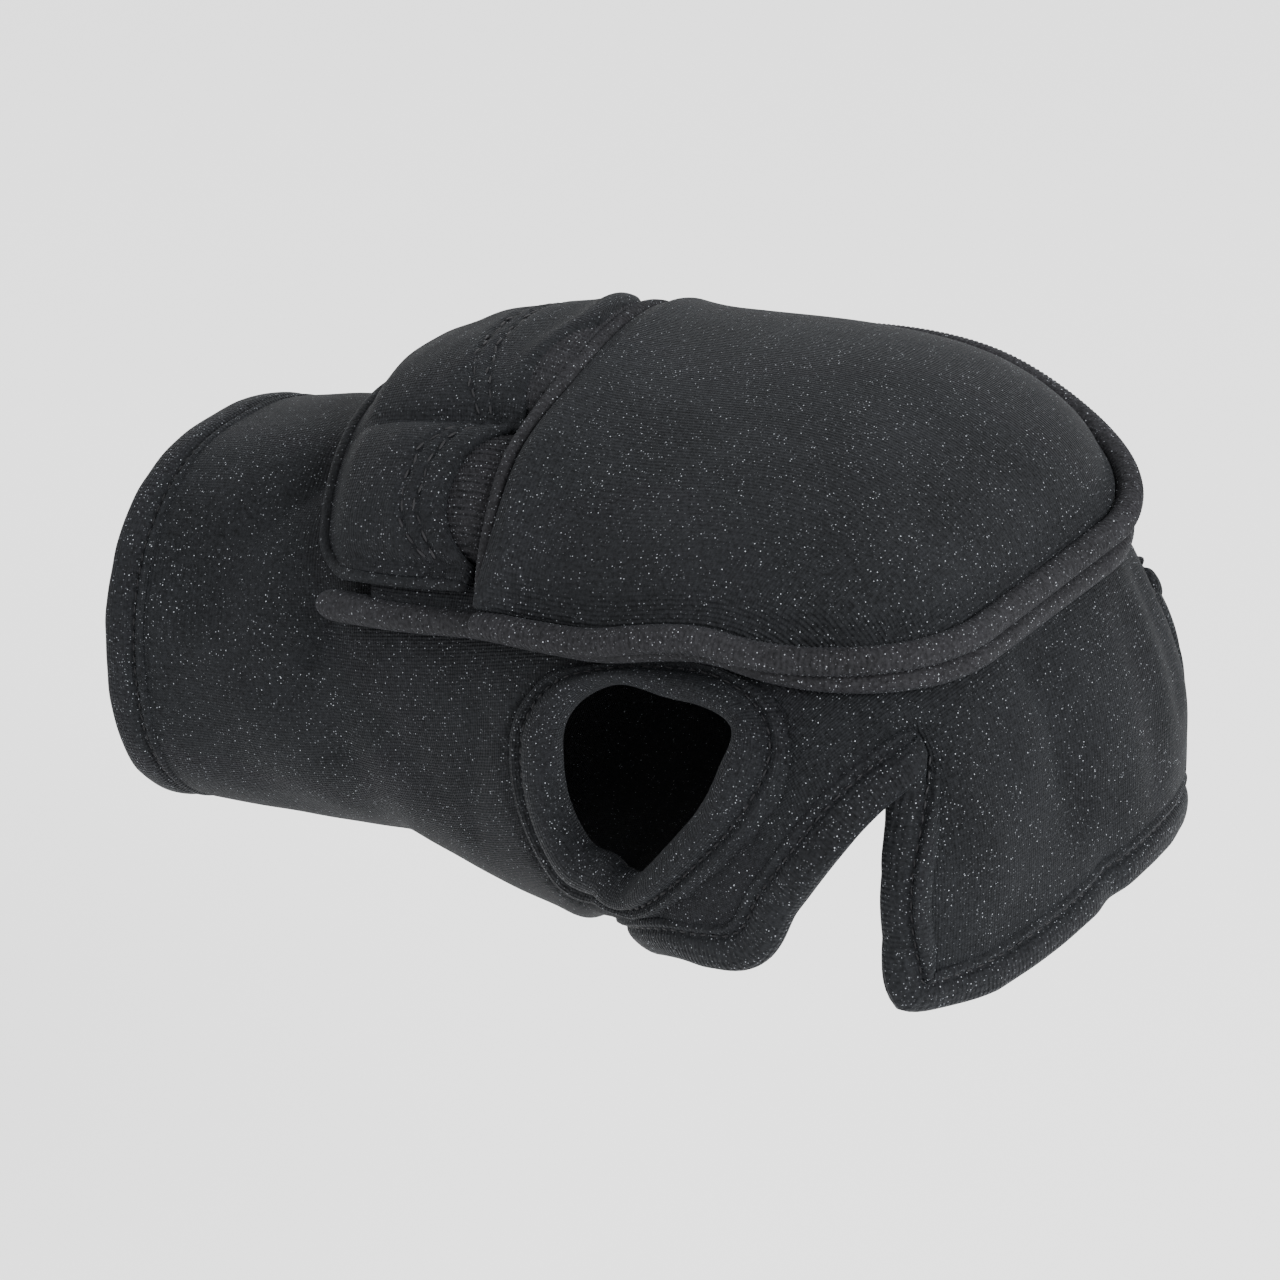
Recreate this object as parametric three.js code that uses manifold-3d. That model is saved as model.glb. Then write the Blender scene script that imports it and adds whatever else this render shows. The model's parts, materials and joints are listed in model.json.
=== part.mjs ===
// Weighted training glove for a left hand, in the form that it keeps on a closed fist.
// Millimetres. X runs from the wrist mouth towards the knuckles, Y towards the little finger,
// Z towards the back of the hand. The origin is the centre of the wrist mouth.
//
// A stretch neoprene shell covers the hand as far as the middle joints of the fingers.
// It is open at the wrist, at the thumb and under the fingers, and each opening has a hem.
// A weight pad lies on the back of the hand, on a base panel with a rolled edge, and its
// wrist end is tucked into a pocket flap with two lobes.

import * as THREE from 'three';
import { mergeVertices } from 'three/addons/utils/BufferGeometryUtils.js';
import Module from 'manifold-3d';

const wasm = await Module();
wasm.setup();

// Driving sizes
const WALL = 3;             // thickness of the neoprene
const GAP = 0.3;            // clearance between two sewn edges
const SEAT = 0.5;           // clearance between layers that lie on each other
const HEM_THICK = 4.2;      // folded edge, a little thicker than the wall
const WRIST_HEM = 5.4;      // width of the hem at the wrist
const FINGER_HEM = 5;       // width of the hem round the finger opening
const RING_THICK = 5.2;     // binding of the thumb hole
const RING_GAP = 1;         // its clearance, as it turns tight corners
const BASE_THICK = 2.5;     // base panel under the pad
const ROLL_RADIUS = 1.6;    // rolled edge of the base panel
const PIPING_RADIUS = 1.9;  // ribbed piping round the pad
const FLAP_EDGE_RADIUS = 1.1; // thin ridge round the flap
const PAD_RIDGE_RADIUS = 1.3; // sewn ridge across the back of the pad

// A table with named columns becomes a list of rows with those names.
function table(names, rows) {
  const columns = names.split(' ');
  return rows.map((row) => Object.fromEntries(columns.map((name, k) => [name, row[k]])));
}

// Sections of the hand, from the wrist mouth to the middle joints of the fingers.
// x, y, z is the point on the back of the hand, and pitch, yaw and roll turn the section
// from upright across X. thumb and little are half widths, top and bottom half heights,
// square the roundness (2 is an ellipse) and thenar the swelling of the thumb's base.
const SECTIONS = table('x y z pitch yaw roll thumb little top bottom square thenar', [
  [0, 0, 28.5, 0, 0, -4, 31, 34, 28, 28, 2.4, 0],
  [26, 0, 35.2, -14, 1, 0, 32, 35, 31, 31, 2.2, 0],
  [52, 1, 42, -8, 4, 4, 36, 38, 31, 37, 2.2, 3],
  [84, 2, 48, 8, 5, 6, 42, 41, 31, 41, 2.3, 4],
  [114, 1, 49, 25, 0, 5, 43, 40, 28, 48, 2.4, 7],
  [136, -4, 37, 42, -6, 2, 44, 38, 25, 49, 2.4, 7],
  [147, -9, 18, 57, -10, 0, 43, 39, 22, 46, 2.5, 4.5],
  [150, -12, -4, 72, -10, 0, 41, 39, 20, 34, 2.5, 4],
  [149, -13, -20, 83, -10, 0, 40, 38, 18, 24, 2.4, 0],
]);
const THENAR_ANGLE = -38;
const THENAR_SPREAD = 34;

// Folds and dents, on the chart of the back of the hand: along is measured from the wrist
// mouth over the knuckles, around from the midline, with the thumb's side negative.
const FOLDS = table('along0 around0 along1 around1 width depth', [
  [32, -11, 15, -34, 4.5, -1.6],     // slanting trough across the wrist
  [36, -36, 27, -48, 3.5, -1.2],     // its second branch, below the end of the roll
  [24, -24, 12, -12, 7, 0.8],        // full cloth beside the trough
  [28, 33, 16, 37, 5, 1.2],          // full cloth on the far side, behind the flap
  [34, -88, 22, 95, 6, -0.8],        // slack under the heel of the hand
  [156, -20, 184, -18, 5, -0.4],     // between the first two fingers
  [152, -6, 173, -4, 4.5, -1.3],     // the deepest one, over the middle finger
  [154, 15, 176, 16, 4, -0.8],       // between the ring and the little finger
  [170, -8, 175, 2, 6, -0.8],        // slack cloth over the finger joints
]);

// Seam line of the finger opening. On the palm's side it is a station for each angle,
// down from the index slit, under the hand and up to the slit at the little finger.
const SLIT_STATION = 5.33;
const INDEX_SLIT = 33;
const LITTLE_SLIT = 152;
const PALM_SEAM = table('angle station', [
  [-208, 5.33], [-197, 5.36], [-187, 5.48], [-173, 5.75], [-160, 6.02], [-143, 6.05],
  [-115, 5.85], [-90, 5.7], [-65, 5.62], [-45, 5.63], [-30, 5.8], [-20, 6.05],
  [-12, 6.13], [-4, 5.8], [10, 5.48], [20, 5.36], [33, 5.33],
]);
// On the finger cover it is an angle for each station at both sides, and a station at the end.
const COVER_SIDE = table('station index little', [
  [5.33, 33, 152], [5.53, 33, 151], [5.65, 31, 153], [5.95, 26, 158], [6.2, 23, 162],
  [6.5, 22, 163], [6.94, 23.5, 160],
]);
const COVER_END = table('part station', [
  [0, 6.94], [0.12, 7.0], [0.3, 6.97], [0.5, 6.91], [0.75, 6.87], [1, 6.88],
]);
// Beside the index finger the cover's hem is turned under by this many degrees.
const HEM_TURN = table('station turn', [
  [5.33, 0], [5.6, 8], [5.9, 46], [6.2, 60], [6.6, 52], [6.94, 20],
]);
const TURN_FADE = 3;       // columns over which it comes level again along the cover's end

// Seam line of the thumb hole, and the free edge of its binding beside each point of it.
const THUMB_SEAM = table('station angle edgeStation edgeAngle', [
  [2.6, 4, 2.92, 4], [2.67, -13, 3.04, -9.5], [3.03, -28, 3.4, -20.5], [3.8, -36, 3.93, -25.5],
  [4.8, -37.5, 4.45, -28], [5.5, -32, 4.76, -25], [5.35, -10, 4.7, -7], [5.13, 5, 4.53, 3.5],
  [4.87, 13, 4.44, 9.2], [4.45, 18, 4.28, 11.2], [3.75, 20.3, 3.74, 12.6], [3.2, 20.5, 3.26, 16.4],
  [2.8, 17, 3.0, 12.5],
]);

// Pieces on the back of the hand, on the chart. The panels narrow towards the wrist.
const PANEL_WIDTH = table('along share', [
  [30, 0.82], [38, 0.85], [50, 0.89], [66, 0.925], [80, 0.99], [94, 1.03], [108, 1.02], [124, 1],
]);
const BASE = { back: 38, front: 143.6, thumb: -40.2, little: 36, corner: 24 };
const PAD = { back: 70.3, front: 140.8, thumb: -39.6, little: 34, corner: 22 };
const PAD_EDGE = 3;        // thickness of the pad at its piping
const PAD_RISE = 3.4;      // how far its middle stands above that
const PIPING_LIFT = 2.5;   // the piping's middle stands this far above the pad's underside
const PAD_SHOULDER = { along: 7, around: 4 };  // how square its dome is each way
const HEM_ROUND = { across: 0.5, high: 0.8 };  // how square a hem is: 1 is an ellipse, 0 a square
const FLAP = { back: 32, slant: 0.15, mouth: 65.5, thumb: -36.4, little: 32, corner: 6 };
const FLAP_EDGE = 2;       // thickness of the flap at its edges
const FLAP_DROP = 7;       // over this length its wrist edge comes down to the shell
const BASE_TUCK = 8.5;     // the base ends this far inside the flap's wrist edge
// The mouth of a lobe is drawn back by pull at its thumb side and by farPull at its little side.
const LOBES = table('middle half rise band pull farPull', [
  [-24, 10.5, 4, 4.2, 6, 6], [8, 21, 5.6, 7.6, 4, 2],
]);
const LOBE_SHOULDER = { along: 3, around: 4 };  // how square a lobe is each way
const BAND_END = 66.7;     // the ribbed bands lie between the lobes and the ridge of the pad
const BAND_FALL = 0.45;    // part of its thickness by which a band is thinner at its two ends
const RIDGE_RISE = 2;      // the ridge of the pad lies on its back edge, above the bands' end
const BAND_GAP = 1.6;      // between a band and the mouth of its lobe
const BAND_SHARE = 0.9;    // part of a lobe's width that its band fills

// Mesh densities
const COVER_COLUMNS = 18;
const PALM_COLUMNS = 28;
const BODY_ROWS = 18;
const COVER_ROWS = 7;
const THUMB_STEPS = 39;
const STRIP_SIDES = 8;
const CHORD = 6;           // length of a facet on the panels
const CORNER_STEPS = 4;    // facets round a corner of a panel's edge
const SIDE_STEPS = 10;     // points along the side of a panel's edge
const ACROSS_STEPS = 8;    // points across the hand
const FLAP_SIDE_STEPS = 3;
const FLAP_CORNER_STEPS = 3;
const THICK_TUBE = { sides: 8, chord: 6.5 };
const THIN_TUBE = { sides: 6, chord: 3.8 };
const WELD = 1e-4;         // points nearer than this are one point

const FINISH = {
  neoprene: { color: 0x1b1c1f, roughness: 0.85 },
  pad: { color: 0x1d1e21, roughness: 0.8 },
  roll: { color: 0x1f2023, roughness: 0.8 },
  binding: { color: 0x222326, roughness: 0.75 },
};

const radians = THREE.MathUtils.degToRad;
const lerp = THREE.MathUtils.lerp;
const clamp = THREE.MathUtils.clamp;

// Shares of a length, from 0 to 1.
const shares = (steps) => Array.from({ length: steps + 1 }, (_, i) => i / steps);

// A value between the rows of a table, which are in the order of one of its columns.
function fromTable(rows, by, place, column) {
  const last = rows.length - 1;
  let i = 0;
  while (i < last - 1 && place > rows[i + 1][by]) i += 1;
  const t = clamp((place - rows[i][by]) / (rows[i + 1][by] - rows[i][by]), 0, 1);
  return lerp(rows[i][column], rows[i + 1][column], t);
}

// The section at a station, with a cubic curve through the rows.
function section(station) {
  const last = SECTIONS.length - 1;
  const place = clamp(station, 0, last);
  const i = Math.min(Math.floor(place), last - 1);
  const t = place - i;
  const [before, here, next, after] = [i - 1, i, i + 1, i + 2]
    .map((k) => SECTIONS[clamp(k, 0, last)]);
  const row = {};
  for (const name of Object.keys(here)) {
    const slopeHere = (next[name] - before[name]) / 2;
    const slopeNext = (after[name] - here[name]) / 2;
    row[name] = (2 * t ** 3 - 3 * t ** 2 + 1) * here[name] + (t ** 3 - 2 * t ** 2 + t) * slopeHere
      + (-2 * t ** 3 + 3 * t ** 2) * next[name] + (t ** 3 - t ** 2) * slopeNext;
  }
  return row;
}

// A point of the shell's outer face. Angle 0 is the thumb's side and 90 the back of the hand.
function bare(station, angle) {
  const row = section(station);
  const c = Math.cos(radians(angle));
  const n = Math.sin(radians(angle));
  const width = c > 0 ? row.thumb : row.little;
  const height = n > 0 ? row.top : row.bottom;
  const turn = (((angle - THENAR_ANGLE + 180) % 360) + 360) % 360 - 180;
  const radius = (Math.abs(c / width) ** row.square + Math.abs(n / height) ** row.square)
    ** (-1 / row.square) + row.thenar * Math.exp(-((turn / THENAR_SPREAD) ** 2));
  const [pitch, yaw, roll] = [row.pitch, row.yaw, row.roll].map(radians);
  const up = new THREE.Vector3(Math.sin(pitch) * Math.cos(yaw),
    Math.sin(pitch) * Math.sin(yaw), Math.cos(pitch));
  const side = new THREE.Vector3(-Math.sin(yaw), Math.cos(yaw), 0);
  const rolledSide = side.clone().multiplyScalar(Math.cos(roll)).addScaledVector(up, Math.sin(roll));
  const rolledUp = up.clone().multiplyScalar(Math.cos(roll)).addScaledVector(side, -Math.sin(roll));
  return new THREE.Vector3(row.x, row.y, row.z)
    .addScaledVector(up, -row.top)
    .addScaledVector(rolledSide, -radius * c)
    .addScaledVector(rolledUp, radius * n);
}

function normalAt(station, angle) {
  const step = 0.02;
  const turn = 1;
  const along = bare(station + step, angle).sub(bare(station - step, angle));
  const around = bare(station, angle + turn).sub(bare(station, angle - turn));
  return along.cross(around).normalize();
}

// The chart: arc length along the midline of the back, and around from it.
const CHART_STEPS = 160;
const midline = [{ along: 0, station: 0 }];
for (let i = 1; i <= CHART_STEPS; i += 1) {
  const station = (i / CHART_STEPS) * (SECTIONS.length - 1);
  const before = midline[i - 1];
  const reach = bare(station, 90).distanceTo(bare(before.station, 90));
  midline.push({ along: before.along + reach, station });
}
const stationAlong = (along) => fromTable(midline, 'along', along, 'station');
const alongStation = (station) => fromTable(midline, 'station', station, 'along');

const TURN_STEP = 4;
function angleAround(station, around) {
  const way = Math.sign(around) || 1;
  let angle = 90;
  let left = Math.abs(around);
  let here = bare(station, angle);
  for (;;) {
    const next = bare(station, angle + way * TURN_STEP);
    const reach = here.distanceTo(next);
    if (reach >= left) return angle + way * TURN_STEP * (left / reach);
    left -= reach;
    angle += way * TURN_STEP;
    here = next;
  }
}

function aroundAngle(station, angle) {
  const steps = Math.max(1, Math.ceil(Math.abs(angle - 90) / TURN_STEP));
  let reach = 0;
  let here = bare(station, 90);
  for (let i = 1; i <= steps; i += 1) {
    const next = bare(station, lerp(90, angle, i / steps));
    reach += here.distanceTo(next);
    here = next;
  }
  return Math.sign(angle - 90) * reach;
}

// How far the cloth stands in or out at a place of the chart.
function foldAt(along, around) {
  let lift = 0;
  for (const fold of FOLDS) {
    const run = [fold.along1 - fold.along0, fold.around1 - fold.around0];
    const off = [along - fold.along0, around - fold.around0];
    const length = Math.hypot(run[0], run[1]);
    const part = clamp((off[0] * run[0] + off[1] * run[1]) / length ** 2, 0, 1);
    const away = Math.hypot(off[0] - part * run[0], off[1] - part * run[1]);
    lift += fold.depth * Math.exp(-((away / fold.width) ** 2));
  }
  return lift;
}

// A point of the shell with its folds, lifted off its outer face.
function onShell(station, angle, lift) {
  const turn = angle > 270 ? angle - 360 : angle;
  const fold = foldAt(alongStation(station), aroundAngle(station, turn));
  return bare(station, angle).addScaledVector(normalAt(station, angle), lift + fold);
}

// A point of a panel, on the chart and lifted off the shell.
function onPanel(along, around, lift) {
  const station = stationAlong(along);
  const angle = angleAround(station, around * fromTable(PANEL_WIDTH, 'along', along, 'share'));
  return bare(station, angle).addScaledVector(normalAt(station, angle), lift);
}

// A closed mesh under construction. Faces are turned outwards at the end.
class Cloth {
  constructor() {
    this.points = [];
    this.faces = [];
  }

  add(point) {
    this.points.push(point.x, point.y, point.z);
    return this.points.length / 3 - 1;
  }

  quad(a, b, c, d) {
    this.faces.push(a, b, c, a, c, d);
  }

  geometry() {
    const at = (i) => new THREE.Vector3().fromArray(this.points, 3 * i);
    let volume = 0;
    for (let f = 0; f < this.faces.length; f += 3) {
      const [a, b, c] = [0, 1, 2].map((k) => at(this.faces[f + k]));
      volume += a.dot(b.cross(c)) / 6;
    }
    const faces = volume > 0 ? this.faces : this.faces.slice().reverse();
    const geometry = new THREE.BufferGeometry();
    geometry.setAttribute('position', new THREE.Float32BufferAttribute(this.points, 3));
    geometry.setIndex(faces);
    return geometry;
  }
}

function solidOf(geometry) {
  const plain = new THREE.BufferGeometry();
  plain.setAttribute('position', geometry.getAttribute('position').clone());
  if (geometry.index) plain.setIndex(geometry.index.clone());
  const merged = mergeVertices(plain, WELD);
  return new wasm.Manifold(new wasm.Mesh({
    numProp: 3,
    vertProperties: new Float32Array(merged.getAttribute('position').array),
    triVerts: new Uint32Array(merged.index.array),
  }));
}

function geometryOf(solid) {
  const mesh = solid.getMesh();
  const geometry = new THREE.BufferGeometry();
  geometry.setAttribute('position', new THREE.BufferAttribute(mesh.vertProperties, 3));
  geometry.setIndex(new THREE.BufferAttribute(mesh.triVerts, 1));
  return geometry;
}

// The shell's grid as places: body rows all the way round, then the finger cover's rows.
const COLUMNS = COVER_COLUMNS + PALM_COLUMNS;
const mouthStation = stationAlong(WRIST_HEM + GAP);

function columnAngle(column) {
  if (column <= COVER_COLUMNS) return lerp(INDEX_SLIT, LITTLE_SLIT, column / COVER_COLUMNS);
  return lerp(LITTLE_SLIT, INDEX_SLIT + 360, (column - COVER_COLUMNS) / PALM_COLUMNS);
}

function bodyPlace(row, column) {
  const angle = columnAngle(column);
  const palm = angle > LITTLE_SLIT
    ? fromTable(PALM_SEAM, 'angle', angle - 360, 'station') : SLIT_STATION;
  return [lerp(mouthStation, palm, row / BODY_ROWS), angle];
}

function coverPlace(row, column) {
  const down = row / COVER_ROWS;
  const across = column / COVER_COLUMNS;
  const stationAt = (part) => lerp(SLIT_STATION, fromTable(COVER_END, 'part', part, 'station'), down);
  const angle = lerp(fromTable(COVER_SIDE, 'station', stationAt(0), 'index'),
    fromTable(COVER_SIDE, 'station', stationAt(1), 'little'), across);
  return [stationAt(across), angle];
}

// The edge of the finger opening as places, once round: palm, index side, end, little side.
function openingPlaces() {
  const places = [];
  for (let c = COVER_COLUMNS; c <= COLUMNS; c += 1) places.push(bodyPlace(BODY_ROWS, c));
  for (let r = 1; r <= COVER_ROWS; r += 1) places.push(coverPlace(r, 0));
  for (let c = 1; c <= COVER_COLUMNS; c += 1) places.push(coverPlace(COVER_ROWS, c));
  for (let r = COVER_ROWS - 1; r >= 1; r -= 1) places.push(coverPlace(r, COVER_COLUMNS));
  return places;
}

// A closed smooth curve through a table of places.
function roundPlaces(rows, station, angle, count) {
  const curve = new THREE.CatmullRomCurve3(
    rows.map((row) => new THREE.Vector3(row[station], row[angle], 0)), true, 'catmullrom');
  return curve.getPoints(count).slice(0, -1).map((p) => [p.x, p.y]);
}
const thumbSeam = roundPlaces(THUMB_SEAM, 'station', 'angle', THUMB_STEPS);
const thumbEdge = roundPlaces(THUMB_SEAM, 'edgeStation', 'edgeAngle', THUMB_STEPS);

function shellGeometry() {
  const cloth = new Cloth();
  const body = [];
  const cover = [];
  for (const lift of [0, -WALL]) {
    const bodyFace = [];
    for (let r = 0; r <= BODY_ROWS; r += 1) {
      const line = [];
      for (let c = 0; c < COLUMNS; c += 1) line.push(cloth.add(onShell(...bodyPlace(r, c), lift)));
      line.push(line[0]);
      bodyFace.push(line);
    }
    const coverFace = [bodyFace[BODY_ROWS].slice(0, COVER_COLUMNS + 1)];
    for (let r = 1; r <= COVER_ROWS; r += 1) {
      const line = [];
      for (let c = 0; c <= COVER_COLUMNS; c += 1) {
        line.push(cloth.add(onShell(...coverPlace(r, c), lift)));
      }
      coverFace.push(line);
    }
    body.push(bodyFace);
    cover.push(coverFace);
  }
  for (const [outer, inner] of [body, cover]) {
    for (let r = 0; r < outer.length - 1; r += 1) {
      for (let c = 0; c < outer[0].length - 1; c += 1) {
        cloth.quad(outer[r][c], outer[r + 1][c], outer[r + 1][c + 1], outer[r][c + 1]);
        cloth.quad(inner[r][c], inner[r][c + 1], inner[r + 1][c + 1], inner[r + 1][c]);
      }
    }
  }
  const [outer, inner] = body;
  const [coverOuter, coverInner] = cover;
  for (let c = 0; c < COLUMNS; c += 1) {
    cloth.quad(outer[0][c], outer[0][c + 1], inner[0][c + 1], inner[0][c]);
  }
  for (let c = COVER_COLUMNS; c < COLUMNS; c += 1) {
    cloth.quad(outer[BODY_ROWS][c + 1], outer[BODY_ROWS][c], inner[BODY_ROWS][c], inner[BODY_ROWS][c + 1]);
  }
  for (let c = 0; c < COVER_COLUMNS; c += 1) {
    cloth.quad(coverOuter[COVER_ROWS][c + 1], coverOuter[COVER_ROWS][c],
      coverInner[COVER_ROWS][c], coverInner[COVER_ROWS][c + 1]);
  }
  for (let r = 0; r < COVER_ROWS; r += 1) {
    cloth.quad(coverOuter[r + 1][0], coverOuter[r][0], coverInner[r][0], coverInner[r + 1][0]);
    cloth.quad(coverOuter[r][COVER_COLUMNS], coverOuter[r + 1][COVER_COLUMNS],
      coverInner[r + 1][COVER_COLUMNS], coverInner[r][COVER_COLUMNS]);
  }
  return cloth.geometry();
}

// A plug through the wall, with the thumb seam as its outline.
function thumbPunch() {
  const cloth = new Cloth();
  const count = thumbSeam.length;
  const middle = [0, 1].map((k) => thumbSeam.reduce((sum, place) => sum + place[k], 0) / count);
  const rings = [WALL, -2 * WALL].map((lift) => {
    const ring = thumbSeam.map(([station, angle]) => cloth.add(onShell(station, angle, lift)));
    ring.push(ring[0]);
    return { ring, hub: cloth.add(onShell(middle[0], middle[1], lift)) };
  });
  const [top, bottom] = rings;
  for (let i = 0; i < count; i += 1) {
    cloth.quad(top.ring[i], top.ring[i + 1], bottom.ring[i + 1], bottom.ring[i]);
    cloth.faces.push(top.ring[i + 1], top.ring[i], top.hub);
    cloth.faces.push(bottom.ring[i], bottom.ring[i + 1], bottom.hub);
  }
  return cloth.geometry();
}

// Where a hem runs: its seam, its free edge and the way up, for each place of a closed seam.
// It reaches away from the cloth by the width at each place, turned under by some degrees.
function hemRun(places, widths, way, turns) {
  const count = places.length;
  const seams = places.map(([station, angle]) => onShell(station, angle, -WALL / 2));
  return places.map(([station, angle], i) => {
    const tangent = seams[(i + 1) % count].clone().sub(seams[(i + count - 1) % count]);
    const level = normalAt(station, angle);
    const flat = tangent.cross(level).multiplyScalar(way).normalize();
    const turn = radians(turns[i]);
    const out = flat.clone().multiplyScalar(Math.cos(turn)).addScaledVector(level, -Math.sin(turn));
    const up = level.clone().multiplyScalar(Math.cos(turn)).addScaledVector(flat, Math.sin(turn));
    const edge = seams[i].clone().addScaledVector(out, GAP + widths[i]);
    return { seam: seams[i], edge, up, gap: GAP + (HEM_THICK / 2) * Math.sin(turn) };
  });
}

function bindingRun(seamPlaces, edgePlaces) {
  return seamPlaces.map((place, i) => ({
    seam: onShell(...place, -WALL / 2),
    edge: onShell(...edgePlaces[i], -WALL / 2),
    up: normalAt(...place),
    gap: RING_GAP,
  }));
}

// A hem or binding, as a flat rounded bar that starts a little off its seam.
function hemGeometry(run, thick) {
  const cloth = new Cloth();
  const rings = run.map(({ seam, edge, up, gap }) => {
    const out = edge.clone().sub(seam);
    const half = (out.length() - gap) / 2;
    out.normalize();
    const centre = seam.clone().addScaledVector(out, gap + half);
    const ring = [];
    for (let k = 0; k < STRIP_SIDES; k += 1) {
      const turn = (2 * Math.PI * (k + 0.5)) / STRIP_SIDES;
      const across = Math.sign(Math.cos(turn)) * Math.abs(Math.cos(turn)) ** HEM_ROUND.across;
      const high = Math.sign(Math.sin(turn)) * Math.abs(Math.sin(turn)) ** HEM_ROUND.high;
      ring.push(cloth.add(centre.clone().addScaledVector(out, across * half)
        .addScaledVector(up, (high * thick) / 2)));
    }
    return ring;
  });
  for (let i = 0; i < rings.length; i += 1) {
    const next = rings[(i + 1) % rings.length];
    for (let k = 0; k < STRIP_SIDES; k += 1) {
      const l = (k + 1) % STRIP_SIDES;
      cloth.quad(rings[i][k], rings[i][l], next[l], next[k]);
    }
  }
  return cloth.geometry();
}

// A panel on the chart, between a back and a front edge for each place around.
function panelGeometry(thumb, little, backEdge, frontEdge, low, high) {
  const cloth = new Cloth();
  const rows = Math.ceil((little - thumb) / CHORD);
  let longest = 0;
  for (let r = 0; r <= rows; r += 1) {
    const around = lerp(thumb, little, r / rows);
    longest = Math.max(longest, frontEdge(around) - backEdge(around));
  }
  const columns = Math.max(1, Math.ceil(longest / CHORD));
  const faces = [low, high].map((height) => {
    const face = [];
    for (let r = 0; r <= rows; r += 1) {
      // rows crowd towards the side edges, where the corners turn
      const around = lerp(thumb, little, (1 - Math.cos((Math.PI * r) / rows)) / 2);
      const line = [];
      for (let c = 0; c <= columns; c += 1) {
        const along = lerp(backEdge(around), frontEdge(around), c / columns);
        line.push(cloth.add(onPanel(along, around, height(along, around))));
      }
      face.push(line);
    }
    return face;
  });
  const [under, over] = faces;
  for (let r = 0; r < rows; r += 1) {
    for (let c = 0; c < columns; c += 1) {
      cloth.quad(over[r][c], over[r][c + 1], over[r + 1][c + 1], over[r + 1][c]);
      cloth.quad(under[r][c], under[r + 1][c], under[r + 1][c + 1], under[r][c + 1]);
    }
    cloth.quad(under[r][0], over[r][0], over[r + 1][0], under[r + 1][0]);
    cloth.quad(over[r][columns], under[r][columns], under[r + 1][columns], over[r + 1][columns]);
  }
  for (let c = 0; c < columns; c += 1) {
    cloth.quad(under[0][c], under[0][c + 1], over[0][c + 1], over[0][c]);
    cloth.quad(over[rows][c], over[rows][c + 1], under[rows][c + 1], under[rows][c]);
  }
  return cloth.geometry();
}

// The front edge of a panel whose two front corners are round.
function roundFront(panel) {
  const middle = (panel.thumb + panel.little) / 2;
  const straight = (panel.little - panel.thumb) / 2 - panel.corner;
  return (around) => {
    const off = clamp((Math.abs(around - middle) - straight) / panel.corner, 0, 1);
    return panel.front - panel.corner * (1 - Math.sqrt(1 - off * off));
  };
}

// A path along a panel's side, round its front and back along its other side.
function roundPath(panel, margin, lift, start) {
  const corner = panel.corner + margin;
  const thumb = panel.thumb - margin;
  const little = panel.little + margin;
  const turn = panel.front + margin - corner;
  const points = [];
  for (let i = 0; i < SIDE_STEPS; i += 1) points.push([lerp(start, turn, i / SIDE_STEPS), thumb]);
  for (const [hub, from] of [[thumb + corner, -90], [little - corner, 0]]) {
    for (let i = 0; i <= CORNER_STEPS; i += 1) {
      const a = radians(from + (90 * i) / CORNER_STEPS);
      points.push([turn + corner * Math.cos(a), hub + corner * Math.sin(a)]);
    }
  }
  for (let i = 1; i <= SIDE_STEPS; i += 1) points.push([lerp(turn, start, i / SIDE_STEPS), little]);
  return points.map(([along, around]) => onPanel(along, around, lift));
}

function tubeGeometry(points, radius, { sides, chord }) {
  const round = new THREE.Shape();
  for (let k = 0; k < sides; k += 1) {
    const turn = (2 * Math.PI * k) / sides;
    const [x, y] = [radius * Math.cos(turn), radius * Math.sin(turn)];
    if (k === 0) round.moveTo(x, y);
    else round.lineTo(x, y);
  }
  round.closePath();
  const path = new THREE.CatmullRomCurve3(points);
  const steps = Math.round(path.getLength() / chord);
  return new THREE.ExtrudeGeometry(round, { steps, extrudePath: path, bevelEnabled: false });
}

// The flap's mouth, pulled back over each lobe.
function lobeShare(around, row) {
  const off = Math.abs((around - row.middle) / row.half);
  return off >= 1 ? 0 : 1 - off ** LOBE_SHOULDER.around;
}
const flapSlant = (around) => FLAP.back - FLAP.slant * around;
function flapBack(around) {
  const inside = Math.min(around - FLAP.thumb, FLAP.little - around, FLAP.corner);
  const off = 1 - inside / FLAP.corner;
  return flapSlant(around) + FLAP.corner * (1 - Math.sqrt(1 - off * off));
}
const flapMouth = (around) => LOBES.reduce((along, row) => {
  const part = clamp((around - row.middle) / row.half + 1, 0, 1);
  return along - lobeShare(around, row) * lerp(row.pull, row.farPull, part);
}, FLAP.mouth);

const BASE_LOW = SEAT;
const BASE_TOP = SEAT + BASE_THICK;
const UPPER = BASE_TOP + SEAT;

function padHigh(along, around) {
  const a = (2 * (along - PAD.back)) / (PAD.front - PAD.back) - 1;
  const b = (2 * (around - PAD.thumb)) / (PAD.little - PAD.thumb) - 1;
  return UPPER + PAD_EDGE + PAD_RISE * (1 - Math.abs(a) ** PAD_SHOULDER.along)
    * (1 - Math.abs(b) ** PAD_SHOULDER.around);
}

function flapLow(along, around) {
  const down = 1 - clamp((along - flapSlant(around)) / FLAP_DROP, 0, 1);
  return UPPER - (UPPER - SEAT) * down;
}

function flapHigh(along, around) {
  const a = (2 * (along - flapBack(around))) / (flapMouth(around) - flapBack(around)) - 1;
  const rise = LOBES.reduce((sum, row) => sum + row.rise * Math.sqrt(lobeShare(around, row)), 0);
  return flapLow(along, around) + FLAP_EDGE
    + rise * (1 - clamp(Math.abs(a), 0, 1) ** LOBE_SHOULDER.along);
}

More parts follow.
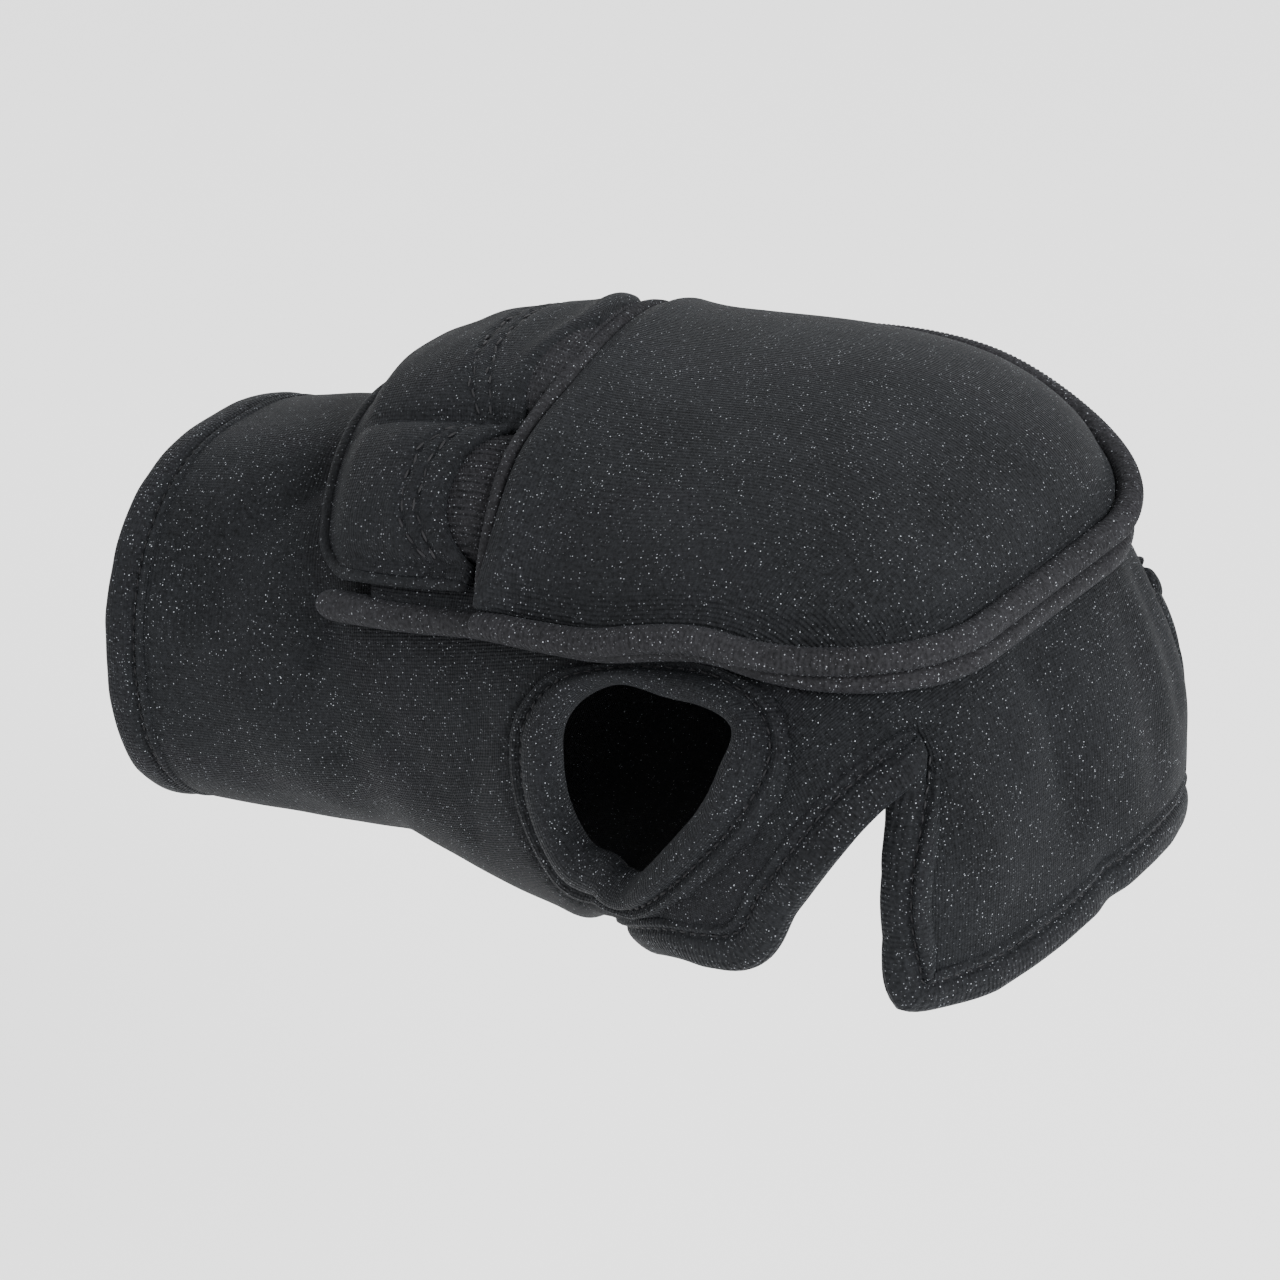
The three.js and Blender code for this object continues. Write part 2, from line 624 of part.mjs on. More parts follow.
function bandHigh(along, around, thick) {
  const start = flapMouth(around) + BAND_GAP;
  const a = clamp((along - start) / (BAND_END - start), 0, 1);
  return UPPER + thick * (1 - BAND_FALL * (2 * a - 1) ** 2);
}

const group = new THREE.Group();

function piece(name, geometry, finish) {
  const material = new THREE.MeshStandardMaterial({ ...finish, metalness: 0 });
  const mesh = new THREE.Mesh(geometry, material);
  mesh.name = name;
  group.add(mesh);
}

const openShell = solidOf(shellGeometry()).subtract(solidOf(thumbPunch()));
piece('glove_shell', geometryOf(openShell), FINISH.neoprene);

const mouthPlaces = [];
for (let c = 0; c < COLUMNS; c += 1) mouthPlaces.push(bodyPlace(0, c));
const mouthWidths = mouthPlaces.map(() => WRIST_HEM);
const mouthTurns = mouthPlaces.map(() => 0);
piece('wrist_hem', hemGeometry(hemRun(mouthPlaces, mouthWidths, -1, mouthTurns), HEM_THICK),
  FINISH.neoprene);

// The hem narrows where it turns round the end of each slit.
const SLIT_REACH = { station: 0.47, angle: 18 };
const NARROWEST = 0.3;
const opening = openingPlaces();
const openingWidths = opening.map(([station, angle]) => {
  const away = [INDEX_SLIT, LITTLE_SLIT].map((slit) => {
    const turn = Math.abs(((angle - slit + 540) % 360) - 180);
    return Math.hypot((station - SLIT_STATION) / SLIT_REACH.station, turn / SLIT_REACH.angle);
  });
  return FINGER_HEM * lerp(NARROWEST, 1, clamp(Math.min(...away), 0, 1));
});
// The places run over the palm's side first, then beside the index finger, then along the end.
const openingTurns = opening.map(([station], i) => {
  const row = i - PALM_COLUMNS;
  const fade = clamp(1 - (row - COVER_ROWS) / TURN_FADE, 0, 1);
  return row > 0 ? fromTable(HEM_TURN, 'station', station, 'turn') * fade : 0;
});
piece('finger_opening_hem', hemGeometry(hemRun(opening, openingWidths, 1, openingTurns), HEM_THICK),
  FINISH.neoprene);

piece('thumb_ring', hemGeometry(bindingRun(thumbSeam, thumbEdge), RING_THICK),
  FINISH.neoprene);

const baseFront = roundFront(BASE);
piece('pad_base', panelGeometry(BASE.thumb, BASE.little, (around) => flapSlant(around) + BASE_TUCK,
  baseFront, () => BASE_LOW, () => BASE_TOP), FINISH.neoprene);
piece('base_roll', tubeGeometry(roundPath(BASE, ROLL_RADIUS + SEAT, SEAT + ROLL_RADIUS, BASE.back),
  ROLL_RADIUS, THICK_TUBE), FINISH.roll);

const padFront = roundFront(PAD);
piece('weight_pad', panelGeometry(PAD.thumb, PAD.little, () => PAD.back, padFront,
  () => UPPER, padHigh), FINISH.pad);
piece('pad_piping', tubeGeometry(roundPath(PAD, PIPING_RADIUS + GAP, UPPER + PIPING_LIFT, PAD.back),
  PIPING_RADIUS, THICK_TUBE), FINISH.binding);

piece('pocket_flap', panelGeometry(FLAP.thumb, FLAP.little, flapBack, flapMouth,
  flapLow, flapHigh), FINISH.neoprene);

// The ridge of the flap runs from one end of its mouth round its wrist edge to the other.
function flapEdgePath() {
  const margin = FLAP_EDGE_RADIUS + SEAT;
  const corner = FLAP.corner + margin;
  const [first, last] = [FLAP.thumb + FLAP.corner, FLAP.little - FLAP.corner];
  const sideAt = (around) => shares(FLAP_SIDE_STEPS).map((part) => (
    [lerp(FLAP.mouth, flapSlant(around) + FLAP.corner, part), around]));
  const cornerAt = (hub, from) => shares(FLAP_CORNER_STEPS).slice(1).map((part) => {
    const turn = radians(from + 90 * part);
    return [flapSlant(hub) + FLAP.corner - corner * Math.sin(turn), hub - corner * Math.cos(turn)];
  });
  const backAt = shares(ACROSS_STEPS).slice(1, -1).map((part) => {
    const around = lerp(first, last, part);
    return [flapSlant(around) - margin, around];
  });
  return [...sideAt(FLAP.thumb - margin), ...cornerAt(first, 0), ...backAt,
    ...cornerAt(last, 90 - 90 / FLAP_CORNER_STEPS), ...sideAt(FLAP.little + margin).reverse()]
    .map(([along, around]) => onPanel(along, around, FLAP_EDGE_RADIUS + flapLow(along, around)));
}
piece('flap_edge', tubeGeometry(flapEdgePath(), FLAP_EDGE_RADIUS, THIN_TUBE), FINISH.neoprene);

LOBES.forEach(({ middle, half, band }, i) => {
  const reach = half * BAND_SHARE;
  piece(['pad_band_near', 'pad_band_far'][i], panelGeometry(middle - reach,
    Math.min(middle + reach, PAD.little), (around) => flapMouth(around) + BAND_GAP,
    () => BAND_END, () => UPPER, (along, around) => bandHigh(along, around, band)), FINISH.binding);
});

const ridgePoints = shares(ACROSS_STEPS).map((part) => onPanel(PAD.back - PAD_RIDGE_RADIUS - GAP,
  lerp(PAD.thumb, PAD.little, part), UPPER + PAD_RIDGE_RADIUS + RIDGE_RISE));
piece('pad_ridge', tubeGeometry(ridgePoints, PAD_RIDGE_RADIUS, THIN_TUBE), FINISH.binding);

export default group;
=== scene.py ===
"""A weighted training glove in black knit-faced neoprene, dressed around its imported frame.

The cloth follows the same sections, seams and panels as the frame, in millimetres, and each
finished mesh is in metres. Stitches, piping and rolls come from two node trees that follow
a path. The weight pad is filled by a short cloth simulation.
"""

import json
import math

import bpy
import numpy as np
from bpy.props import FloatProperty, FloatVectorProperty, PointerProperty
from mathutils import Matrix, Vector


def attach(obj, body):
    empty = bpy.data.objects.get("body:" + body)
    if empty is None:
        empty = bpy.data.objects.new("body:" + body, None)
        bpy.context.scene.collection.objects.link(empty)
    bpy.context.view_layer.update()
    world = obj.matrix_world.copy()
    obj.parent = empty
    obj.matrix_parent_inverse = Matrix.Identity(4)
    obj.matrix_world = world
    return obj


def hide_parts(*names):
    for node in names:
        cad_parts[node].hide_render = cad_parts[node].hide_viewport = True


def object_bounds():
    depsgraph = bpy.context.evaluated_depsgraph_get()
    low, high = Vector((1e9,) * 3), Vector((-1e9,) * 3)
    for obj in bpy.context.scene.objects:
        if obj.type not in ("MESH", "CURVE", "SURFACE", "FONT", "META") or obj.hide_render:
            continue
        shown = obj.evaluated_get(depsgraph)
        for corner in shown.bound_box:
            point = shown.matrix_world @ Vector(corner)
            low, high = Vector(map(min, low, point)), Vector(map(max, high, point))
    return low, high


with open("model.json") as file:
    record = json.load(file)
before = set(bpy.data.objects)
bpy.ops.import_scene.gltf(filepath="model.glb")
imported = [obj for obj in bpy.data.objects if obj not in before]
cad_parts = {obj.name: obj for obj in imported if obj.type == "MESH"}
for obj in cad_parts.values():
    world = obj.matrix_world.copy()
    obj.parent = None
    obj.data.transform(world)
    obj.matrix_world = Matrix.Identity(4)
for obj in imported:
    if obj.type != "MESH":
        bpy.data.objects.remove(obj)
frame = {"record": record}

CAD_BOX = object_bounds()
SLOTS = {row["slot"]: row for row in frame["record"]["materials"]}
MM = 0.001

bl_info = {
    "name": "Weighted glove",
    "version": (1, 0, 0),
    "blender": (4, 5, 0),
    "location": "View3D > Sidebar > Glove",
    "description": "Builds the cloth, stitching and finish of a weighted training glove",
    "category": "Add Mesh",
}


# Tables of the glove, as in the frame

def table(names, rows):
    """Rows of numbers as named columns."""
    return dict(zip(names.split(), np.array(rows, float).T))


# Sections of the glove: x, y, z is the point on its back, pitch, yaw and roll turn the section,
# thumb and little are half widths, top and bottom half heights, square is the roundness and
# thenar the swelling under the thumb hole.
SECTIONS = table("x y z pitch yaw roll thumb little top bottom square thenar", [
    [0, 0, 28.5, 0, 0, -4, 31, 34, 28, 28, 2.4, 0],
    [26, 0, 35.2, -14, 1, 0, 32, 35, 31, 31, 2.2, 0],
    [52, 1, 42, -8, 4, 4, 36, 38, 31, 37, 2.2, 3],
    [84, 2, 48, 8, 5, 6, 42, 41, 31, 41, 2.3, 4],
    [114, 1, 49, 25, 0, 5, 43, 40, 28, 48, 2.4, 7],
    [136, -4, 37, 42, -6, 2, 44, 38, 25, 49, 2.4, 7],
    [147, -9, 18, 57, -10, 0, 43, 39, 22, 46, 2.5, 4.5],
    [150, -12, -4, 72, -10, 0, 41, 39, 20, 34, 2.5, 4],
    [149, -13, -20, 83, -10, 0, 40, 38, 18, 24, 2.4, 0],
])
SECTION_ROWS = np.stack(list(SECTIONS.values()), -1)
LAST_STATION = len(SECTION_ROWS) - 1
THENAR_ANGLE = -38
THENAR_SPREAD = 34

# Folds and dents on the chart: along from the wrist mouth, around from the back's midline.
FOLDS = table("along0 around0 along1 around1 width depth", [
    [32, -11, 15, -34, 4.5, -1.6],
    [36, -36, 27, -48, 3.5, -1.2],
    [24, -24, 12, -12, 7, 0.8],
    [28, 33, 16, 37, 5, 1.2],
    [34, -88, 22, 95, 6, -0.8],
    [156, -20, 184, -18, 5, -0.4],
    [152, -6, 173, -4, 4.5, -1.3],
    [154, 15, 176, 16, 4, -0.8],
    [170, -8, 175, 2, 6, -0.8],
])
# Finer ones that only the cloth shows.
CREASES = table("along0 around0 along1 around1 width depth", [
    [30, -14, 22, -26, 1.9, -0.7],      # sharp bottom of the slanting trough
    [35, -38, 30, -44, 1.6, -0.8],      # drawn in below the end of the roll
    [37, -42, 33, -58, 3.2, -0.7],
    [41, -50, 52, -62, 3.5, -0.5],
    [12, -52, 20, -72, 4.5, -0.6],
    [60, -70, 66, -52, 3.0, -0.5],
    [149, -9, 168, -6, 2.0, -0.7],
    [150, 24, 168, 26, 3.0, -0.7],
    [160, -27, 176, -20, 4.5, 0.6],
    [184, 2, 190, 8, 2.4, -0.8],
])

SLIT_STATION = 5.33
INDEX_SLIT = 33
LITTLE_SLIT = 152
PALM_SEAM = table("angle station", [
    [-208, 5.33], [-197, 5.36], [-187, 5.48], [-173, 5.75], [-160, 6.02], [-143, 6.05],
    [-115, 5.85], [-90, 5.7], [-65, 5.62], [-45, 5.63], [-30, 5.8], [-20, 6.05],
    [-12, 6.13], [-4, 5.8], [10, 5.48], [20, 5.36], [33, 5.33],
])
COVER_SIDE = table("station index little", [
    [5.33, 33, 152], [5.53, 33, 151], [5.65, 31, 153], [5.95, 26, 158], [6.2, 23, 162],
    [6.5, 22, 163], [6.94, 23.5, 160],
])
COVER_END = table("part station", [
    [0, 6.94], [0.12, 7.0], [0.3, 6.97], [0.5, 6.91], [0.75, 6.87], [1, 6.88],
])
# Beside the index slit the cover's hem is turned under by this many degrees.
HEM_TURN = table("station turn", [[5.33, 0], [5.6, 8], [5.9, 46], [6.2, 60], [6.6, 52], [6.94, 20]])
THUMB_SEAM = table("station angle edge_station edge_angle", [
    [2.6, 4, 2.92, 4], [2.67, -13, 3.04, -9.5], [3.03, -28, 3.4, -20.5], [3.8, -36, 3.93, -25.5],
    [4.8, -37.5, 4.45, -28], [5.5, -32, 4.76, -25], [5.35, -10, 4.7, -7], [5.13, 5, 4.53, 3.5],
    [4.87, 13, 4.44, 9.2], [4.45, 18, 4.28, 11.2], [3.75, 20.3, 3.74, 12.6], [3.2, 20.5, 3.26, 16.4],
    [2.8, 17, 3.0, 12.5],
])
PANEL_WIDTH = table("along share", [
    [30, 0.82], [38, 0.85], [50, 0.89], [66, 0.925], [80, 0.99], [94, 1.03], [108, 1.02], [124, 1],
])
BASE = {"back": 38, "front": 143.6, "thumb": -40.2, "little": 36, "corner": 24}
PAD = {"back": 70.3, "front": 140.8, "thumb": -39.6, "little": 34, "corner": 22}
FLAP = {"back": 32, "slant": 0.15, "mouth": 65.5, "thumb": -36.4, "little": 32, "corner": 6}
FLAP_DROP = 7
BASE_TUCK = 8.5
# A mouth is drawn back by pull at its thumb side and by far_pull at its little side.
LOBES = table("middle half rise band pull far_pull", [
    [-24, 10.5, 4, 4.2, 6, 6], [8, 21, 5.6, 7.6, 4, -3.2],
])
PIPING_LIFT = 2.4

WALL = 3
WRIST_HEM = 5.4
FINGER_HEM = 5
SEAT = 0.5
BASE_THICK = 2.5
UPPER = SEAT + BASE_THICK + SEAT     # the pad and the flap lie at this height


# The surface of the glove

def hermite(rows, place):
    """Values between rows, by a cubic curve through them."""
    last = len(rows) - 1
    place = np.clip(place, 0, last)
    i = np.minimum(place.astype(int), last - 1)
    t = (place - i)[..., None]
    before, here, after, beyond = (rows[np.clip(i + k, 0, last)] for k in (-1, 0, 1, 2))
    leave = (after - before) / 2
    arrive = (beyond - here) / 2
    return ((2 * t**3 - 3 * t**2 + 1) * here + (t**3 - 2 * t**2 + t) * leave
            + (-2 * t**3 + 3 * t**2) * after + (t**3 - t**2) * arrive)


def bare(station, angle):
    """Points of the shell's outer face. Angle 0 is the thumb's side and 90 the glove's back."""
    station, angle = np.broadcast_arrays(np.asarray(station, float), np.asarray(angle, float))
    values = np.moveaxis(hermite(SECTION_ROWS, station), -1, 0)
    x, y, z, pitch, yaw, roll, thumb, little, top, bottom, square, thenar = values
    c, n = np.cos(np.radians(angle)), np.sin(np.radians(angle))
    width = np.where(c > 0, thumb, little)
    height = np.where(n > 0, top, bottom)
    turn = (angle - THENAR_ANGLE + 180) % 360 - 180
    radius = (np.abs(c / width) ** square + np.abs(n / height) ** square) ** (-1 / square)
    radius = radius + thenar * hill(turn, THENAR_SPREAD)
    pitch, yaw, roll = np.radians(pitch), np.radians(yaw), np.radians(roll)
    up = np.stack([np.sin(pitch) * np.cos(yaw), np.sin(pitch) * np.sin(yaw), np.cos(pitch)], -1)
    side = np.stack([-np.sin(yaw), np.cos(yaw), np.zeros_like(yaw)], -1)
    cos_roll, sin_roll = np.cos(roll)[..., None], np.sin(roll)[..., None]
    rolled_side = cos_roll * side + sin_roll * up
    rolled_up = cos_roll * up - sin_roll * side
    centre = np.stack([x, y, z], -1) - up * top[..., None]
    return centre - (radius * c)[..., None] * rolled_side + (radius * n)[..., None] * rolled_up


def unit(vectors):
    return vectors / np.maximum(np.linalg.norm(vectors, axis=-1, keepdims=True), 1e-9)


def hill(off, width):
    """One where off is nothing, falling off over the width on both sides."""
    return np.exp(-((off / width) ** 2))


def soft_step(part):
    return part * part * (3 - 2 * part)


def looped(line):
    """A closed line with its first point again at its end."""
    return np.concatenate([line, line[:1]])


def normal(station, angle):
    along = bare(station + 0.02, angle) - bare(station - 0.02, angle)
    around = bare(station, angle + 1) - bare(station, angle - 1)
    return unit(np.cross(along, around))


def reach(points):
    """Length along a line of points, from its start."""
    steps = np.linalg.norm(np.diff(points, axis=-2), axis=-1)
    return np.concatenate([np.zeros(steps.shape[:-1] + (1,)), np.cumsum(steps, -1)], -1)


TURN_STEP = 2.0
STATION_GRID = np.linspace(0, LAST_STATION, 321)
TURN_GRID = np.arange(-130.0, 311.0, TURN_STEP)
AROUND_GRID = np.arange(-175.0, 176.0, 1.0)
ALONG_GRID = reach(bare(STATION_GRID, 90))
AROUND_OF = reach(bare(STATION_GRID[:, None], TURN_GRID[None]))
AROUND_OF = AROUND_OF - AROUND_OF[:, [int((90 - TURN_GRID[0]) / TURN_STEP)]]
ANGLE_OF = np.array([np.interp(AROUND_GRID, row, TURN_GRID) for row in AROUND_OF])


def sample(grid, rows, row_at, columns, column_at):
    """Bilinear values of a grid whose rows and columns are evenly spaced."""
    r = np.clip((row_at - rows[0]) / (rows[1] - rows[0]), 0, len(rows) - 1.001)
    c = np.clip((column_at - columns[0]) / (columns[1] - columns[0]), 0, len(columns) - 1.001)
    i, j = r.astype(int), c.astype(int)
    u, v = r - i, c - j
    return ((1 - u) * (1 - v) * grid[i, j] + u * (1 - v) * grid[i + 1, j]
            + (1 - u) * v * grid[i, j + 1] + u * v * grid[i + 1, j + 1])


def station_along(along):
    return np.interp(along, ALONG_GRID, STATION_GRID)


def along_station(station):
    return np.interp(station, STATION_GRID, ALONG_GRID)


def around_at(station, angle):
    return sample(AROUND_OF, STATION_GRID, station, TURN_GRID, angle)


def angle_at(station, around):
    return sample(ANGLE_OF, STATION_GRID, station, AROUND_GRID, around)


def wrapped(angle):
    return (angle + 90) % 360 - 90


def chart_of(station, angle):
    """Along and around for places of the shell."""
    return np.stack([along_station(station), around_at(station, angle)], -1)


def relief(folds, along, around):
    """How far troughs and ridges along short lines of the chart lift the cloth."""
    lift = np.zeros(np.broadcast(along, around).shape)
    for a0, b0, a1, b1, width, depth in zip(*folds.values()):
        run = (a1 - a0, b1 - b0)
        part = ((along - a0) * run[0] + (around - b0) * run[1]) / (run[0] ** 2 + run[1] ** 2)
        part = np.clip(part, 0, 1)
        away = np.hypot(along - a0 - part * run[0], around - b0 - part * run[1])
        lift = lift + depth * hill(away, width)
    return lift


WAVES = 7     # waves that add up to one ripple


def ripple(points, size, seed):
    """Smooth irregular values about zero, from waves in fixed directions."""
    chance = np.random.default_rng(seed)
    total = np.zeros(points.shape[:-1])
    for _ in range(WAVES):
        way = chance.normal(size=3)
        way = way / np.linalg.norm(way) * 2 * math.pi / (size * chance.uniform(0.7, 1.6))
        total = total + np.sin(points @ way + chance.uniform(0, 2 * math.pi))
    return total / WAVES


def waves(points, rows):
    """Ripples added up, each with its height and length in millimetres and its seed."""
    return sum(height * ripple(points, size, seed) for height, size, seed in rows)


SLACK = ((0.45, 30, 11), (0.12, 9, 12))


def on_shell(station, angle, lift=0.0):
    """A point of the shell with its folds and slack, lifted off its outer face."""
    along, around = along_station(station), around_at(station, wrapped(angle))
    point = bare(station, angle)
    fold = relief(FOLDS, along, around) + relief(CREASES, along, around) + waves(point, SLACK)
    return point + normal(station, angle) * np.asarray(lift + fold)[..., None]


FINE_STEP = 0.5
FINE_ALONG = np.arange(0.0, 230.0, FINE_STEP)
EASE_STEPS = 20


def eased(rows, spread):
    """A column of values over the chart's length, with its corners rounded."""
    raw = np.interp(FINE_ALONG, rows["along"], rows["share"])
    reach_out = np.arange(-EASE_STEPS, EASE_STEPS + 1) * FINE_STEP
    weight = hill(reach_out, spread)
    padded = np.pad(raw, EASE_STEPS, mode="edge")
    return np.convolve(padded, weight / weight.sum(), mode="valid")


PANEL_SHARE = eased(PANEL_WIDTH, 5)


def on_panel(along, around, lift=0.0):
    """A point of a panel on the glove's back, on the chart and lifted off the shell."""
    along, around = np.broadcast_arrays(np.asarray(along, float), np.asarray(around, float))
    station = station_along(along)
    angle = angle_at(station, around * np.interp(along, FINE_ALONG, PANEL_SHARE))
    return bare(station, angle) + normal(station, angle) * np.asarray(lift)[..., None]


# Lines over the surface

def through(rows, per=12, closed=False):
    """A dense smooth line through rows of places."""
    rows = np.asarray(rows, float)
    if closed:
        ring = np.concatenate([rows[-2:], rows, rows[:3]])
        return hermite(ring, np.arange(0, len(rows) * per) / per + 2)
    return hermite(rows, np.linspace(0, len(rows) - 1, (len(rows) - 1) * per + 1))


def line_of(rows, first, second, **how):
    """A dense smooth line through two columns of a table."""
    return through(np.stack([rows[first], rows[second]], -1), **how)


PALM_LINE = line_of(PALM_SEAM, "angle", "station")
SIDE_LINE = through(np.stack(list(COVER_SIDE.values()), -1))
END_LINE = through(np.stack(list(COVER_END.values()), -1))


def palm_station(angle):
    return np.interp(angle, PALM_LINE[:, 0], PALM_LINE[:, 1])


def cover_place(down, across):
    """A place on the finger cover, from the slits' ends to its free end."""
    def station_at(part):
        end = np.interp(part, END_LINE[:, 0], END_LINE[:, 1])
        return SLIT_STATION + (end - SLIT_STATION) * down
    index = np.interp(station_at(0), SIDE_LINE[:, 0], SIDE_LINE[:, 1])
    little = np.interp(station_at(1), SIDE_LINE[:, 0], SIDE_LINE[:, 2])
    return station_at(across), index + (little - index) * across


def smooth_ring(values, reach_out, closed):
    """Values along a line, each averaged with its neighbours."""
    count = 3 * reach_out
    weight = hill(np.arange(-count, count + 1), reach_out)
    padded = np.pad(values, [(count, count), (0, 0)], mode="wrap" if closed else "edge")
    return np.stack([np.convolve(padded[:, k], weight / weight.sum(), mode="valid")
                     for k in range(values.shape[1])], -1)


class Run:
    """An evenly spaced line over the shell, with the ways up and out of the cloth."""

    def __init__(self, places, closed, way, step=0.5, soften=3):
        places = np.asarray(places, float)
        if closed:
            first = places[:1].copy()
            first[0, 1] += 360 * round((places[-1, 1] - first[0, 1]) / 360)
            places = np.concatenate([places, first])
        length = reach(on_shell(*places.T))
        self.total = length[-1]
        self.closed = closed
        count = int(round(self.total / step))
        self.at = np.linspace(0, self.total, count + 1)
        if closed:
            self.at = self.at[:-1]
        self.place = np.stack([np.interp(self.at, length, places[:, k]) for k in (0, 1)], -1)
        self.point = on_shell(*self.place.T)
        self.up = normal(*self.place.T)
        if closed:
            tangent = np.roll(self.point, -1, 0) - np.roll(self.point, 1, 0)
        else:
            tangent = np.gradient(self.point, axis=0)
        out = smooth_ring(unit(np.cross(tangent, self.up)) * way, soften, closed)
        out = out - self.up * np.sum(out * self.up, -1, keepdims=True)
        self.out = unit(out)

    def turn_under(self, degrees):
        """Turns the ways out and up about the line itself."""
        turn = np.radians(degrees)[:, None]
        self.out, self.up = (self.out * np.cos(turn) - self.up * np.sin(turn),
                             self.up * np.cos(turn) + self.out * np.sin(turn))

    def shifted(self, across, lift):
        """The same line, moved across the cloth and up."""
        return self.point + self.out * across + self.up * lift


# Meshes under construction

def cells(grid):
    """The four corners of each cell between the rows and columns of a grid."""
    corners = [grid[:-1, :-1], grid[1:, :-1], grid[1:, 1:], grid[:-1, 1:]]
    return np.stack(corners, 2).reshape(-1, 4, *grid.shape[2:])


class Cloth:
    """Points and faces of one piece, with a place on its own chart for each corner."""

    def __init__(self):
        self.points = []
        self.count = 0
        self.faces = []
        self.charts = []

    def add(self, points):
        """Adds a grid or line of points and gives their indices in the same layout."""
        points = np.asarray(points, float)
        index = np.arange(self.count, self.count + points[..., 0].size).reshape(points.shape[:-1])
        self.points.append(points.reshape(-1, 3))
        self.count += index.size
        return index

    def grid(self, index, chart, flip=False):
        """Quads between the rows and columns of a grid of indices."""
        way = -1 if flip else 1
        self.quads(cells(index)[:, ::way], cells(chart)[:, ::way])

    def quads(self, faces, charts):
        self.faces.append(faces)
        self.charts.append(charts)

    def cap(self, ring, chart, flip=False):
        """Closes a ring of points with a fan to its middle."""
        points = np.concatenate(self.points)[ring]
        hub = self.add(points.mean(0, keepdims=True))[0]
        after = np.roll(ring, -1)
        order = [ring, after, np.full_like(ring, hub), np.full_like(ring, hub)]
        places = [chart, np.roll(chart, -1, 0), np.tile(chart.mean(0), (len(ring), 1))]
        if flip:
            order = [after, ring, order[2], order[2]]
            places = [places[1], places[0], places[2]]
        self.quads(np.stack(order, 1), np.stack(places + [places[2]], 1))

    def mesh(self, name):
        """The piece as a Blender mesh in metres, with its faces outwards."""
        points = np.concatenate(self.points)
        faces = np.concatenate(self.faces)
        charts = np.concatenate(self.charts)
        a, b, c, d = (points[faces[:, k]] for k in range(4))
        volume = np.sum(a * np.cross(b, c)) + np.sum(a * np.cross(c, d))
        if volume < 0:
            faces, charts = faces[:, ::-1], charts[:, ::-1]
        corners = []
        places = []
        for face, chart in zip(faces.tolist(), charts.tolist()):
            keep = [k for k in range(4) if face[k] != face[k - 1]]
            corners.append([face[k] for k in keep])
            places.extend(chart[k] for k in keep)
        mesh = bpy.data.meshes.new(name)
        mesh.from_pydata((points * MM).tolist(), [], corners)
        layer = mesh.uv_layers.new(name="chart")
        layer.uv.foreach_set("vector", np.array(places, np.float32).reshape(-1) * MM)
        mesh.polygons.foreach_set("use_smooth", [True] * len(mesh.polygons))
        mesh.update()
        return mesh


def place_piece(mesh, name, material=None):
    """A mesh as an object at the origin."""
    piece = bpy.data.objects.new(name, mesh)
    bpy.context.scene.collection.objects.link(piece)
    if material:
        mesh.materials.clear()
        mesh.materials.append(material)
    return piece


def dress(mesh, name, look, slot, node):
    """A finished mesh as a piece that stands for one node."""
    piece = place_piece(mesh, name, finish(look))
    hand_over(piece, slot, node)
    return piece


def hand_over(piece, slot, *nodes):
    """Hangs a finished piece on the root and hides the frame's parts that it stands for; its slot is not
    used.
    """
    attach(piece, "root")
    if nodes:
        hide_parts(*nodes)


WALL_CHART_STEP = 0.3     # how far the chart moves on with each ring of a wall


def slab(top, under, chart, bulge, wall_steps=3):
    """A closed piece between two grids of points, with a rounded wall round its edge."""
    cloth = Cloth()
    over, below = cloth.add(top), cloth.add(under)
    cloth.grid(over, chart)
    cloth.grid(below, chart, flip=True)
    rows, columns = over.shape
    border = ([(0, c) for c in range(columns)] + [(r, columns - 1) for r in range(1, rows)]
              + [(rows - 1, c) for c in range(columns - 2, -1, -1)]
              + [(r, 0) for r in range(rows - 2, 0, -1)])
    at = np.array(border)
    inner = np.stack([np.clip(at[:, 0], 1, rows - 2), np.clip(at[:, 1], 1, columns - 2)], -1)
    upper, lower = top[at[:, 0], at[:, 1]], under[at[:, 0], at[:, 1]]
    middle = (upper + lower) / 2
    out = middle - (top[inner[:, 0], inner[:, 1]] + under[inner[:, 0], inner[:, 1]]) / 2
    rings = [over[at[:, 0], at[:, 1]]]
    for k in range(1, wall_steps + 1):
        part = k / (wall_steps + 1)
        push = bulge * math.sin(math.pi * part)
        rings.append(cloth.add(upper + (lower - upper) * part + unit(out) * push))
    rings.append(below[at[:, 0], at[:, 1]])
    rings = np.stack([np.append(ring, ring[0]) for ring in rings], 1)
    places = looped(chart[at[:, 0], at[:, 1]])
    depth = np.arange(rings.shape[1]) * WALL_CHART_STEP
    cloth.grid(rings, np.repeat(places[:, None], len(depth), 1) + np.stack([depth, depth], -1)[None])
    return cloth


# The shell

COVER_COLUMNS = 92
PALM_COLUMNS = 138
BODY_ROWS = 118
COVER_ROWS = 38
MOUTH_INSET = 0.3      # the shell starts this far inside the seam of its wrist hem
MOUTH_TURN = 2.0       # degrees between two points of that seam
SIDE_POINTS = 60       # points along each side of the finger cover
TURN_FADE = 12         # over this length the cover's hem comes level again
CHART_JUMP = 20        # a face that spans more than this lies across the chart's border
SEAM_DEPTH = 0.6       # how far a seam draws the cloth in
SEAM_WIDTH = 1.5
SEAM_PUCKER = 0.35     # how much of that depth comes and goes with the stitches


def mouth_station():
    return station_along(WRIST_HEM + MOUTH_INSET)


